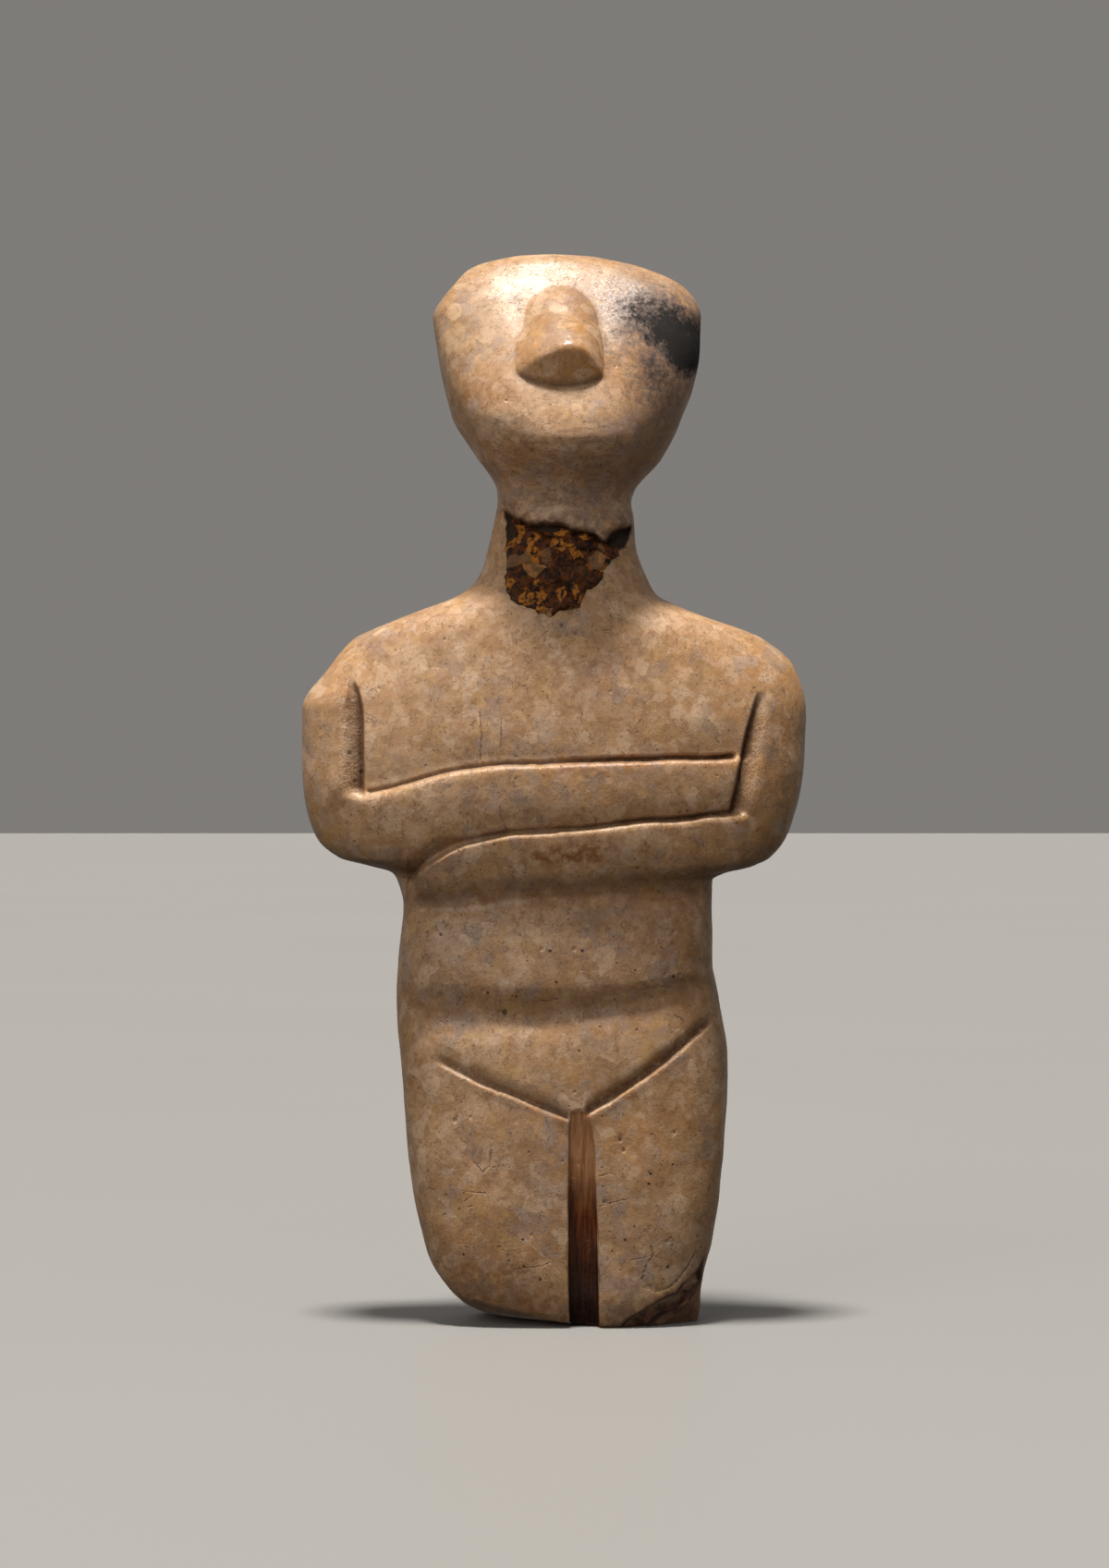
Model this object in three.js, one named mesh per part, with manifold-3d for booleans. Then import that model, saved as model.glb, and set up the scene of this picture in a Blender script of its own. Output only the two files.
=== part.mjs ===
// Folded-arm figurine, carved from one piece of marble and broken across the thighs.
//
// Frame: millimetres, +Z up. The figure faces -Y, and +X is to the right of someone who
// looks at its face. The origin is the centre of its footprint, on the plane that the
// broken lower end stands on.
//
// The body is a loft of horizontal sections. Each section is a superellipse whose left
// and right edges, front, back and squareness are read from short tables of named
// levels. Soft modelling (forearms, belly, buttocks) is added to the loft as relief, the
// nose is a second small loft joined on, and the incised work is cut out: the grooves
// beside and between the arms, the lines of the pubic triangle, the slot between the
// legs, the spall on the neck and the broken corner of the left leg.

import * as THREE from 'three';
import { mergeVertices } from 'three/addons/utils/BufferGeometryUtils.js';
import Module from 'manifold-3d';

const wasm = await Module();
wasm.setup();

// ---------------------------------------------------------------- driving dimensions

const CROWN = { x: -1.3, z: 149.7 };        // highest point of the head
const TEMPLE_Z = 140.6;                     // the head is widest here
const CROWN_ROUNDNESS = { left: 2.1, right: 2.0 };

// level, height, left edge, right edge
const OUTLINE = [
  ['foot break',     0.0, -14.6, 20.0],
  ['foot round',     2.1, -15.5, 20.2],
  ['foot',           4.1, -16.0, 20.3],
  ['shin break',     6.7, -17.1, 20.7],
  ['low thigh',     11.4, -18.3, 22.0],
  ['thigh',         21.7, -20.2, 23.4],
  ['high thigh',    37.3, -21.6, 24.1],
  ['hip',           45.0, -22.1, 23.0],
  ['waist',         50.2, -21.9, 22.0],
  ['belly',         58.0, -21.2, 21.9],
  ['under elbow',   61.6, -22.0, 22.0],
  ['elbow pocket',  62.6, -22.7, 23.7],
  ['elbow base',    63.7, -26.4, 28.0],
  ['elbow low',     64.7, -30.0, 30.0],
  ['elbow',         67.8, -33.4, 32.4],
  ['forearm',       72.9, -35.0, 34.2],
  ['upper arm',     78.7, -35.3, 34.9],
  ['arm',           85.4, -35.2, 35.1],
  ['worn shoulder', 91.1, -31.6, 33.7],
  ['shoulder',      95.3, -28.2, 29.3],
  ['shoulder top',  99.4, -18.4, 18.7],
  ['neck foot',    101.5, -13.2, 14.4],
  ['neck root',    103.5, -10.9, 13.2],
  ['low neck',     108.2,  -9.2, 11.5],
  ['neck',         112.3,  -8.3, 11.1],
  ['high neck',    114.4,  -7.9, 10.7],
  ['throat',       116.0,  -8.0, 11.1],
  ['chin',         120.7, -10.9, 15.0],
  ['jaw',          126.5, -14.3, 17.9],
  ['cheek',        134.4, -16.3, 20.2],
  ['temple', TEMPLE_Z, -17.1, 20.5],
];

// height and depth of the face of the figure on its middle line
const FRONT = [
  [0, -9.6], [1.5, -10.4], [5, -10.9], [20, -11.3], [36, -10.9], [46, -10.4],
  [56, -10.9], [66, -12.0], [74, -12.4], [81, -12.0], [86, -11.3], [93, -10.1], [99, -9.1],
  [104, -8.4], [109, -8.1], [113, -8.2], [115, -8.8], [117, -10.3], [119, -12.5],
  [121, -14.3], [122.6, -14.8], [124.6, -14.4], [128, -12.9], [131, -11.3], [135, -8.9],
  [140, -5.6], [144, -2.9], [147, -0.4], [148.8, 1.5], [149.5, 3.1], [149.7, 4.5],
];

// height and depth of its back
const BACK = [
  [0, 10.0], [1.5, 10.7], [5, 11.1], [20, 11.3], [30, 11.7], [39, 12.2], [47, 11.2],
  [57, 9.4], [64, 9.7], [75, 10.6], [86, 10.9], [94, 10.4], [99, 9.3], [104, 7.9],
  [110, 6.9], [115, 6.7], [120, 7.5], [127, 9.3], [135, 11.4], [141, 12.3],
  [144.5, 11.4], [147.5, 8.9], [149.1, 6.9], [149.7, 5.3],
];

// height, depth of the side edges, squareness of the section in front and behind
const EDGE = [
  [0, 0.2, 2.9, 2.7], [12, 0.2, 3.2, 2.7], [40, 0.4, 3.1, 2.6], [58, 0, 3.0, 2.8],
  [62, 0, 3.2, 3.0], [72, 0, 3.3, 3.0], [86, 0, 3.2, 2.8], [95, 0.3, 2.6, 2.5],
  [101, 0, 2.2, 2.2], [108, 0, 2.05, 2.05], [115, -0.2, 2.05, 2.05],
  [122, 0.2, 2.15, 2.2], [130, 1.6, 2.45, 2.35], [141, 3.9, 2.9, 2.5],
  [147, 4.6, 2.7, 2.4], [149.7, 4.9, 2.0, 2.0],
];

// carved lines on the front, as points (x, z) that a smooth curve passes through
const LINE = {
  chestOverForearm: [[-26.0, 73.8], [-22.9, 74.5], [-17.8, 75.9], [-12.7, 77.1], [-7, 77.6],
    [0, 77.9], [6.3, 78.1], [12.7, 78.4], [24.8, 78.6]],
  betweenForearms: [[-20.4, 60.6], [-18.8, 63.2], [-16.5, 65.0], [-12.7, 66.9], [-7.6, 68.0],
    [0, 68.7], [3.8, 68.9], [7.6, 69.3], [12.7, 70.0], [19.0, 70.4], [24.2, 71.1]],
  underForearm: [[-20.0, 57.0], [-12.7, 57.3], [-7.6, 58.0], [0, 58.5], [7.6, 58.8],
    [12.7, 59.0], [21.6, 58.6]],
  bellyRoll: [[-20.3, 48.2], [-12.7, 47.6], [-5, 47.2], [0, 47.1], [7.6, 47.4], [12.7, 48.1],
    [18, 49.0], [21, 49.8]],
  lowerBelly: [[-20, 40.2], [-10, 40.7], [0, 41.5], [7, 42.5], [12.7, 43.6], [18, 45.0]],
  leftArm: [[-27.9, 89.0], [-27.8, 84], [-27.4, 79], [-27.0, 74.4]],
  rightArm: [[27.9, 87.2], [26.7, 82], [25.7, 78], [24.9, 74], [24.3, 71.2]],
  leftGroin: [[-17.0, 37.3], [-12.7, 35.2], [-7.6, 32.8], [-2.5, 30.8], [1.2, 29.4]],
  rightGroin: [[22.2, 42.4], [20.3, 40.9], [16.5, 38.0], [12.7, 35.1], [8.9, 32.5], [4.6, 30.0]],
};

// how the forms of the trunk overlap from the neck down, each with a lip that stands over
// the one above it: height on the middle line, and how far the surface stands out there
const TRUNK = [
  [30, 0], [36, 0.1], [40, -0.1], [41.5, -0.4], [43.2, -0.7], [44.8, -0.35], [46.2, 0.3],
  [47.1, 0.55], [49, 0.62], [52, 0.45], [55, 0], [57, -0.5], [58.5, -1.1], [59.8, -1.4],
  [61, -0.95], [62.2, -0.15], [63.4, 0.35], [65, 0.66], [67, 0.74], [68.3, 0.35], [69.2, 0],
  [70.2, 0.32], [71.4, 0.54], [73, 0.64], [76, 0.62], [77.4, 0.35], [78.4, -0.3], [79.8, -0.3],
  [82, -0.1], [84, 0], [90, 0],
];

const SLOT = { floorY: -9.3, outline: [[1.9, -1], [6.3, -1], [6.15, 6], [5.9, 17.7],
  [5.5, 26.2], [4.9, 29.0], [4.1, 30.3], [2.9, 30.4], [2.1, 29.4], [1.8, 17.7]] };
const NOSE = { x: 0.9, topZ: 144.5, archZ: 140.8, tipZ: 135.3, baseZ: 129.6, rise: 4.5,
  // height, left edge, ridge, right edge
  plan: [[129.6, -4.8, 1.9, 6.6], [134, -5.2, 2.0, 6.6], [139.3, -4.0, 1.6, 5.9],
    [143.6, -3.6, 0.8, 4.7]] };
const SPALL = { y: -7.3, outline: [[-7.4, 110.4], [-7.0, 101.6], [-3.0, 99.0], [1.6, 98.4],
  [4.0, 99.2], [7.4, 102.4], [9.8, 106.0], [10.4, 110.2], [6.6, 109.6], [2.0, 109.0],
  [-3.2, 110.0]] };
const CLEFT = { x: 1.6, topZ: 33.0, radius: 1.5, sink: 0.5 };   // between the legs, behind

const RINGS = 76;
const FRONT_COLUMNS = 26;
const BACK_COLUMNS = 18;

// ------------------------------------------------------------------- small functions

const clamp = (v, a, b) => Math.min(b, Math.max(a, v));
const smooth = (a, b, v) => { const t = clamp((v - a) / (b - a), 0, 1); return t * t * (3 - 2 * t); };
const bell = (v, width) => Math.exp(-(v * v) / (width * width));

// shape-preserving cubic through rows, reading column c against column k
function curve(rows, k, c) {
  const xs = rows.map((r) => r[k]);
  const ys = rows.map((r) => r[c]);
  const n = xs.length;
  const h = [], d = [], m = [];
  for (let i = 0; i < n - 1; i++) { h.push(xs[i + 1] - xs[i]); d.push((ys[i + 1] - ys[i]) / h[i]); }
  m[0] = d[0];
  m[n - 1] = d[n - 2];
  for (let i = 1; i < n - 1; i++) {
    const w1 = 2 * h[i] + h[i - 1], w2 = h[i] + 2 * h[i - 1];
    m[i] = d[i - 1] * d[i] <= 0 ? 0 : (w1 + w2) / (w1 / d[i - 1] + w2 / d[i]);
  }
  return (v) => {
    const q = clamp(v, xs[0], xs[n - 1]);
    let i = 0;
    while (i < n - 2 && q > xs[i + 1]) i++;
    const t = (q - xs[i]) / h[i], t2 = t * t, t3 = t2 * t;
    return (2 * t3 - 3 * t2 + 1) * ys[i] + (t3 - 2 * t2 + t) * h[i] * m[i]
      + (3 * t2 - 2 * t3) * ys[i + 1] + (t3 - t2) * h[i] * m[i + 1];
  };
}

const leftEdge = curve(OUTLINE, 1, 2);
const rightEdge = curve(OUTLINE, 1, 3);
const frontDepth = curve(FRONT, 0, 1);
const backDepth = curve(BACK, 0, 1);
const edgeDepth = curve(EDGE, 0, 1);
const frontSquare = curve(EDGE, 0, 2);
const backSquare = curve(EDGE, 0, 3);
const trunk = curve(TRUNK, 0, 1);
const [noseLeft, noseRidge, noseRight] = [1, 2, 3].map((c) => curve(NOSE.plan, 0, c));
const onLine = Object.fromEntries(['chestOverForearm', 'betweenForearms', 'underForearm',
  'bellyRoll', 'lowerBelly']
  .map((name) => [name, curve(LINE[name], 0, 1)]));

// section of the body at one height
function section(z) {
  let left = leftEdge(z), right = rightEdge(z);
  if (z > TEMPLE_Z) {
    const t = clamp((z - TEMPLE_Z) / (CROWN.z - TEMPLE_Z), 0, 1);
    const arc = (n) => Math.pow(Math.max(0, 1 - Math.pow(t, n)), 1 / n);
    left = CROWN.x - 0.6 + (left - CROWN.x + 0.6) * arc(CROWN_ROUNDNESS.left);
    right = CROWN.x + 0.6 + (right - CROWN.x - 0.6) * arc(CROWN_ROUNDNESS.right);
  }
  return { left, right, front: frontDepth(z), back: backDepth(z), edge: edgeDepth(z),
    nf: frontSquare(z), nb: backSquare(z) };
}

// height on the middle line that matches a point: the carved lines keep their own shapes
const ANCHORS = ['lowerBelly', 'bellyRoll', 'underForearm', 'betweenForearms', 'chestOverForearm'];
function matching(x, z) {
  const here = [30, ...ANCHORS.map((name) => onLine[name](x)), 90];
  const middle = [30, ...ANCHORS.map((name) => onLine[name](0)), 90];
  let i = 0;
  while (i < here.length - 2 && z > here[i + 1]) i++;
  return middle[i] + (middle[i + 1] - middle[i]) * (z - here[i]) / (here[i + 1] - here[i]);
}

// soft modelling of the front, positive towards the viewer
function frontRelief(x, z) {
  const arm = Math.max(smooth(-25.6, -28.4, x), smooth(24.8, 27.6, x));
  let r = 0;
  if (z > 30 && z < 97) {
    r = trunk(matching(x, z)) * (1 - arm) + 0.4 * arm * smooth(58, 63, z) * smooth(97, 88, z);
  }
  r -= 0.25 * bell(x - 3.6, 3.4) * (1 - smooth(26, 31, z));              // between the thighs
  return r;
}

// soft modelling of the back, positive away from the viewer
function backRelief(x, z) {
  let r = 0;
  r += 0.9 * bell(Math.hypot((Math.abs(x - 1) - 9) / 8, (z - 39) / 8), 1);      // buttocks
  r -= 0.5 * bell(x - 1, 2.6) * smooth(46, 56, z) * (1 - smooth(88, 97, z));     // spine
  r -= 0.55 * bell(Math.abs(x) - 25.5, 2.4) * smooth(66, 71, z) * (1 - smooth(86, 91, z));
  r -= 0.3 * bell(z - 62.5, 2.4);                                               // waist
  return r;
}

const edgeFade = (u) => smooth(0, 0.16, 1 - u);

function frontY(x, z) {
  const s = section(z);
  const u = clamp(Math.abs(x - (s.left + s.right) / 2) / ((s.right - s.left) / 2), 0, 1);
  return s.edge - (s.edge - s.front) * Math.pow(1 - Math.pow(u, s.nf), 1 / s.nf)
    - frontRelief(x, z) * edgeFade(u);
}

function backY(x, z) {
  const s = section(z);
  const u = clamp(Math.abs(x - (s.left + s.right) / 2) / ((s.right - s.left) / 2), 0, 1);
  return s.edge + (s.back - s.edge) * Math.pow(1 - Math.pow(u, s.nb), 1 / s.nb)
    + backRelief(x, z) * edgeFade(u);
}

// points at equal steps of length along a polyline, without its last point
function evenly(points, count) {
  const run = [0];
  for (let i = 1; i < points.length; i++) {
    run.push(run[i - 1] + Math.hypot(points[i][0] - points[i - 1][0], points[i][1] - points[i - 1][1]));
  }
  const out = [];
  for (let k = 0, i = 0; k < count; k++) {
    const want = run[run.length - 1] * k / count;
    while (i < points.length - 2 && run[i + 1] < want) i++;
    const t = run[i + 1] > run[i] ? (want - run[i]) / (run[i + 1] - run[i]) : 0;
    out.push([0, 1].map((c) => points[i][c] + (points[i + 1][c] - points[i][c]) * t));
  }
  return out;
}

// one ring, from the right edge round the back to the left edge, then across the front
function ring(z) {
  const s = section(z);
  const cx = (s.left + s.right) / 2, half = (s.right - s.left) / 2;
  const trace = (y, side) => Array.from({ length: 161 }, (_, i) => {
    const x = cx + side * half * Math.cos(Math.PI * i / 160);
    return [x, y(x, z)];
  });
  return [...evenly(trace(backY, 1), BACK_COLUMNS), ...evenly(trace(frontY, -1), FRONT_COLUMNS)];
}

// closed mesh over a stack of rings of equal length, each turning to the left seen from above
function loft(levels, ringAt) {
  const rings = levels.map(ringAt);
  const n = rings[0].length;
  const position = [], index = [];
  rings.forEach((r, i) => r.forEach(([x, y]) => position.push(x, y, levels[i])));
  for (let i = 0; i < rings.length - 1; i++) {
    for (let j = 0; j < n; j++) {
      const a = i * n + j, b = i * n + (j + 1) % n, c = b + n, d = a + n;
      if ((i + j) % 2) index.push(a, b, c, a, c, d); else index.push(a, b, d, b, c, d);
    }
  }
  for (const [i, flip] of [[0, true], [rings.length - 1, false]]) {
    const centre = position.length / 3;
    position.push(rings[i].reduce((t, p) => t + p[0], 0) / n, rings[i].reduce((t, p) => t + p[1], 0) / n, levels[i]);
    for (let j = 0; j < n; j++) {
      const a = i * n + j, b = i * n + (j + 1) % n;
      index.push(...(flip ? [b, a, centre] : [a, b, centre]));
    }
  }
  const geometry = new THREE.BufferGeometry();
  geometry.setAttribute('position', new THREE.Float32BufferAttribute(position, 3));
  geometry.setIndex(index);
  return geometry;
}

function solid(geometry) {
  geometry.deleteAttribute('normal');
  geometry.deleteAttribute('uv');
  const merged = mergeVertices(geometry, 1e-4);
  return new wasm.Manifold(new wasm.Mesh({ numProp: 3,
    vertProperties: new Float32Array(merged.attributes.position.array),
    triVerts: new Uint32Array(merged.index.array) }));
}

// ------------------------------------------------------------------------- the body

// levels that follow the outline, so that shoulders and elbows get as many as the legs
function levels(count) {
  const fine = Array.from({ length: 1500 }, (_, i) => CROWN.z * i / 1499);
  const run = [0];
  for (let i = 1; i < fine.length; i++) {
    const p = section(fine[i - 1]), q = section(fine[i]);
    const side = Math.max(Math.abs(q.left - p.left), Math.abs(q.right - p.right));
    const face = Math.max(Math.abs(q.front - p.front), Math.abs(q.back - p.back));
    const step = fine[i] > 30 && fine[i] < 90 ? trunk(fine[i]) - trunk(fine[i - 1]) : 0;
    run.push(run[i - 1] + Math.hypot(fine[i] - fine[i - 1], 0.55 * side, 0.8 * face, 1.5 * step));
  }
  return Array.from({ length: count }, (_, k) => {
    const want = run[run.length - 1] * k / (count - 1);
    let i = 0;
    while (i < run.length - 2 && run[i + 1] < want) i++;
    return fine[i] + (fine[i + 1] - fine[i]) * clamp((want - run[i]) / (run[i + 1] - run[i]), 0, 1);
  });
}

let body = solid(loft(levels(RINGS), ring));

// --------------------------------------------------------------------------- the nose

// how far the nose stands off the face: a rounded wedge that rises from the forehead to
// its tip, cut back below the tip by a hollow plane that meets the face again at its base
function noseRise(x, z) {
  const arch = z > NOSE.archZ
    ? Math.sqrt(Math.max(0, 1 - ((z - NOSE.archZ) / (NOSE.topZ + 0.2 - NOSE.archZ)) ** 2)) : 1;
  const ridge = noseRidge(z);
  const half = Math.max((x < ridge ? ridge - noseLeft(z) : noseRight(z) - ridge) * arch, 0.05);
  const u = (x - ridge) / half;
  const across = Math.max(0, 1 - u * u) ** 1.15;
  const wedge = NOSE.rise * (NOSE.topZ - z) / (NOSE.topZ - NOSE.tipZ) * across
    - 2 * Math.max(0, Math.abs(u) - 0.96);
  const base = NOSE.baseZ + 1.2 * ((x - 1.0) / 5.6) ** 2;
  const under = NOSE.rise * (z - base) / (NOSE.tipZ - NOSE.baseZ);
  return Math.min(wedge, under);
}

function noseRing(z) {
  const [from, to] = [-6.2, 7.6];
  const out = [];
  for (let i = 0; i < 4; i++) out.push([to - (to - from) * i / 4, frontY(NOSE.x, z) + 4.5]);
  for (let i = 0; i <= 18; i++) {
    const x = from + (to - from) * i / 18;
    out.push([x, frontY(x, z) - clamp(noseRise(x, z), -0.6, NOSE.rise)]);
  }
  return out;
}
const noseLevels = [128.6, 129.6, 130.6, 131.8, 133.2, 134.4, NOSE.tipZ, 136.2, 137.8, 139.4, 141, 142.4, 143.6, 144.9];
body = body.add(solid(loft(noseLevels, noseRing)));

// ---------------------------------------------------------------- grooves and incisions

// a round-bottomed cutter along a line of the front, sunk so far and running out at both ends
function groove(line, radius, sink, surface = frontY, towards = -1) {
  const run = new THREE.CatmullRomCurve3(line.map(([x, z]) => new THREE.Vector3(x, 0, z)));
  const count = Math.max(6, Math.round(run.getLength() / 3));
  const points = run.getSpacedPoints(count).map((p, i) => {
    const end = Math.max(smooth(1.2, 0, i), smooth(count - 1.2, count, i));
    return new THREE.Vector3(p.x, surface(p.x, p.z) + towards * (radius - sink + end * sink * 1.3), p.z);
  });
  const disc = new THREE.Shape();
  for (let i = 0; i < 8; i++) {
    const a = Math.PI * (2 * i + 1) / 8;
    disc[i ? 'lineTo' : 'moveTo'](radius * Math.cos(a), radius * Math.sin(a));
  }
  disc.closePath();
  return solid(new THREE.ExtrudeGeometry(disc, { steps: count, bevelEnabled: false,
    extrudePath: new THREE.CatmullRomCurve3(points) }));
}

// an upright prism over an outline in the front plane, from the viewer's side to depth y
function pocket(outline, y) {
  const shape = new THREE.Shape(outline.map(([x, z]) => new THREE.Vector2(x, z)));
  const geometry = new THREE.ExtrudeGeometry(shape, { depth: 30, bevelEnabled: false });
  geometry.rotateX(Math.PI / 2);      // (x, z) of the outline, swept towards -Y
  geometry.translate(0, y, 0);
  return solid(geometry);
}

// everything on the outer side of a plane through three points, as a large block
function beyond(a, b, c, outer) {
  const [p, q, r] = [a, b, c].map((v) => new THREE.Vector3(...v));
  const n = q.clone().sub(p).cross(r.clone().sub(p)).normalize();
  if (n.dot(new THREE.Vector3(...outer)) < 0) n.negate();
  const block = new THREE.BoxGeometry(60, 60, 40);
  block.translate(0, 0, 20);
  block.applyQuaternion(new THREE.Quaternion().setFromUnitVectors(new THREE.Vector3(0, 0, 1), n));
  block.translate(...p.toArray());
  return solid(block);
}

const cuts = [
  groove(LINE.chestOverForearm, 0.95, 1.0),
  groove(LINE.betweenForearms, 0.95, 1.0),
  groove(LINE.leftArm, 1.5, 0.8),
  groove(LINE.rightArm, 1.1, 0.9),
  groove(LINE.leftGroin, 0.75, 0.7),
  groove(LINE.rightGroin, 0.75, 0.7),
  groove([[CLEFT.x, -2], [CLEFT.x, 8], [CLEFT.x, 20], [CLEFT.x, CLEFT.topZ]],
    CLEFT.radius, CLEFT.radius - CLEFT.sink, backY, 1),
  pocket(SLOT.outline, SLOT.floorY),
  pocket(SPALL.outline, SPALL.y),
  // the broken corner of the left leg, two planes of fracture
  beyond([8.3, -10.4, 0.2], [16.5, -9.4, 5.0], [20.2, 0.5, 0], [1, -1, -1]),
  beyond([16.5, -9.4, 5.0], [20.9, -5.6, 9.2], [20.3, -1.5, 2.0], [1, -1, -1]),
  // the worn underside of the right leg, which rises to the side and the front
  beyond([-16.2, -8.0, 5.4], [1.9, -10.5, 0.7], [-8, 0, 0], [-1, -1, -3]),
];
for (const cut of cuts) body = body.subtract(cut);

// ---------------------------------------------------------------------------- the model

const mesh = body.getMesh();
const geometry = new THREE.BufferGeometry();
geometry.setAttribute('position', new THREE.BufferAttribute(new Float32Array(mesh.vertProperties), 3));
geometry.setIndex(new THREE.BufferAttribute(new Uint32Array(mesh.triVerts), 1));
geometry.computeBoundingBox();
const box = geometry.boundingBox;
geometry.translate(-(box.min.x + box.max.x) / 2, -(box.min.y + box.max.y) / 2, -box.min.z);
geometry.computeVertexNormals();

const marble = new THREE.MeshStandardMaterial({ name: 'marble', color: 0xcdb18a, roughness: 0.42, metalness: 0 });
const figurine = new THREE.Mesh(geometry, marble);
figurine.name = 'figurine';

const model = new THREE.Group();
model.name = 'cycladic_figurine';
model.add(figurine);

export default model;
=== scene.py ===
"""Looks for a folded-arm marble figurine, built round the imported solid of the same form.

The solid's surface is rebuilt here as one fine mesh: the same levels and lines in
millimetres, with the carving, wear, pits, cracks and breaks modelled at true depth. The
crust in the spall on the neck is a mesh of its own. All masks are worked out from where
a point is on the figure, and everything random is seeded.
"""

import bmesh
import bpy
import numpy as np
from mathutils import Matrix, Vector


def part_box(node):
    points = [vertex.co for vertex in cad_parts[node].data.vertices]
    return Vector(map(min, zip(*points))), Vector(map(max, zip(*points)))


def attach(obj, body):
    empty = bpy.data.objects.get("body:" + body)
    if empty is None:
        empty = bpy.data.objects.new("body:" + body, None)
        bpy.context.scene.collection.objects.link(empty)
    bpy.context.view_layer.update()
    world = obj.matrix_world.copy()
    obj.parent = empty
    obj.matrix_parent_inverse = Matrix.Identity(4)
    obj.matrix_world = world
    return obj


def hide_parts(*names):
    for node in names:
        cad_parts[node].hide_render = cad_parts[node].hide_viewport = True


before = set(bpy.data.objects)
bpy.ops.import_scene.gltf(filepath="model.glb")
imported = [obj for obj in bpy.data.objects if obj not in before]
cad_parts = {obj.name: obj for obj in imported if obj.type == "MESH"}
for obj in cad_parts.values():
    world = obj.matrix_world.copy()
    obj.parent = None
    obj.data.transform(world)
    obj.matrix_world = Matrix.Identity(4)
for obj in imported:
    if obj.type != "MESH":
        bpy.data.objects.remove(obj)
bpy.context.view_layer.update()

# ------------------------------------------------------------------ sizes, millimetres

CROWN_X, CROWN_Z = -1.3, 149.7
TEMPLE_Z = 140.6
ROUND_LEFT, ROUND_RIGHT = 2.1, 2.0

# height, left edge, right edge
OUTLINE = [
    (0.0, -14.6, 20.0), (2.1, -15.5, 20.2), (4.1, -16.0, 20.3), (6.7, -17.1, 20.7),
    (11.4, -18.3, 22.0), (21.7, -20.2, 23.4), (37.3, -21.6, 24.1), (45.0, -22.1, 23.0),
    (50.2, -21.9, 22.0), (58.0, -21.2, 21.9), (61.6, -22.0, 22.0), (62.6, -22.7, 23.7),
    (63.7, -26.4, 28.0), (64.7, -30.0, 30.0), (67.8, -33.4, 32.4), (72.9, -35.0, 34.2),
    (78.7, -35.3, 34.9), (85.4, -35.2, 35.1), (91.1, -31.6, 33.7), (95.3, -28.2, 29.3),
    (99.4, -18.4, 18.7), (101.5, -13.2, 14.4), (103.5, -10.9, 13.2), (108.2, -9.2, 11.5),
    (112.3, -8.3, 11.1), (114.4, -7.9, 10.7), (116.0, -8.0, 11.1), (120.7, -10.9, 15.0),
    (126.5, -14.3, 17.9), (134.4, -16.3, 20.2), (TEMPLE_Z, -17.1, 20.5),
]
# height, depth on the middle line
FRONT = [
    (0, -9.6), (1.5, -10.4), (5, -10.9), (20, -11.3), (36, -10.9), (46, -10.4),
    (56, -10.9), (66, -12.0), (74, -12.4), (81, -12.0), (86, -11.3), (93, -10.1), (99, -9.1),
    (104, -8.4), (109, -8.1), (113, -8.2), (115, -8.8), (117, -10.3), (119, -12.5),
    (121, -14.3), (122.6, -14.8), (124.6, -14.4), (128, -12.9), (131, -11.3), (135, -8.9),
    (140, -5.6), (144, -2.9), (147, -0.4), (148.8, 1.5), (149.5, 3.1), (149.7, 4.5),
]
BACK = [
    (0, 10.0), (1.5, 10.7), (5, 11.1), (20, 11.3), (30, 11.7), (39, 12.2), (47, 11.2),
    (57, 9.4), (64, 9.7), (75, 10.6), (86, 10.9), (94, 10.4), (99, 9.3), (104, 7.9),
    (110, 6.9), (115, 6.7), (120, 7.5), (127, 9.3), (135, 11.4), (141, 12.3),
    (144.5, 11.4), (147.5, 8.9), (149.1, 6.9), (149.7, 5.3),
]
# height, depth of the side edges, squareness of the section in front and behind
EDGE = [
    (0, 0.2, 2.9, 2.7), (12, 0.2, 3.2, 2.7), (40, 0.4, 3.1, 2.6), (58, 0, 3.0, 2.8),
    (62, 0, 3.2, 3.0), (72, 0, 3.3, 3.0), (86, 0, 3.2, 2.8), (95, 0.3, 2.6, 2.5),
    (101, 0, 2.2, 2.2), (108, 0, 2.05, 2.05), (115, -0.2, 2.05, 2.05),
    (122, 0.2, 2.15, 2.2), (130, 1.6, 2.45, 2.35), (141, 3.9, 2.9, 2.5),
    (147, 4.6, 2.7, 2.4), (149.7, 4.9, 2.0, 2.0),
]

# carved lines on the front, (x, z)
OVER_FOREARM = [(-26.0, 73.8), (-22.9, 74.5), (-17.8, 75.9), (-12.7, 77.1), (-7, 77.6),
                (0, 77.9), (6.3, 78.1), (12.7, 78.4), (24.8, 78.6)]
BETWEEN = [(-20.4, 60.6), (-18.8, 63.2), (-16.5, 65.0), (-12.7, 66.9), (-7.6, 68.0),
           (0, 68.7), (3.8, 68.9), (7.6, 69.3), (12.7, 70.0), (19.0, 70.4), (24.2, 71.1)]
UNDER = [(-20.0, 57.0), (-12.7, 57.3), (-7.6, 58.0), (0, 58.5), (7.6, 58.8), (12.7, 59.0),
         (21.6, 58.6)]
ROLL = [(-20.3, 48.2), (-12.7, 47.6), (-5, 47.2), (0, 47.1), (7.6, 47.4), (12.7, 48.1),
        (18, 49.0), (21, 49.8)]
LOWER_BELLY = [(-20, 40.2), (-10, 40.7), (0, 41.5), (7, 42.5), (12.7, 43.6), (18, 45.0)]
LEFT_GROIN = [(-17.3, 37.4), (-14.6, 36.2), (-10.2, 34.0), (-5.1, 32.0), (0, 29.9), (2.0, 29.2)]
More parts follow.
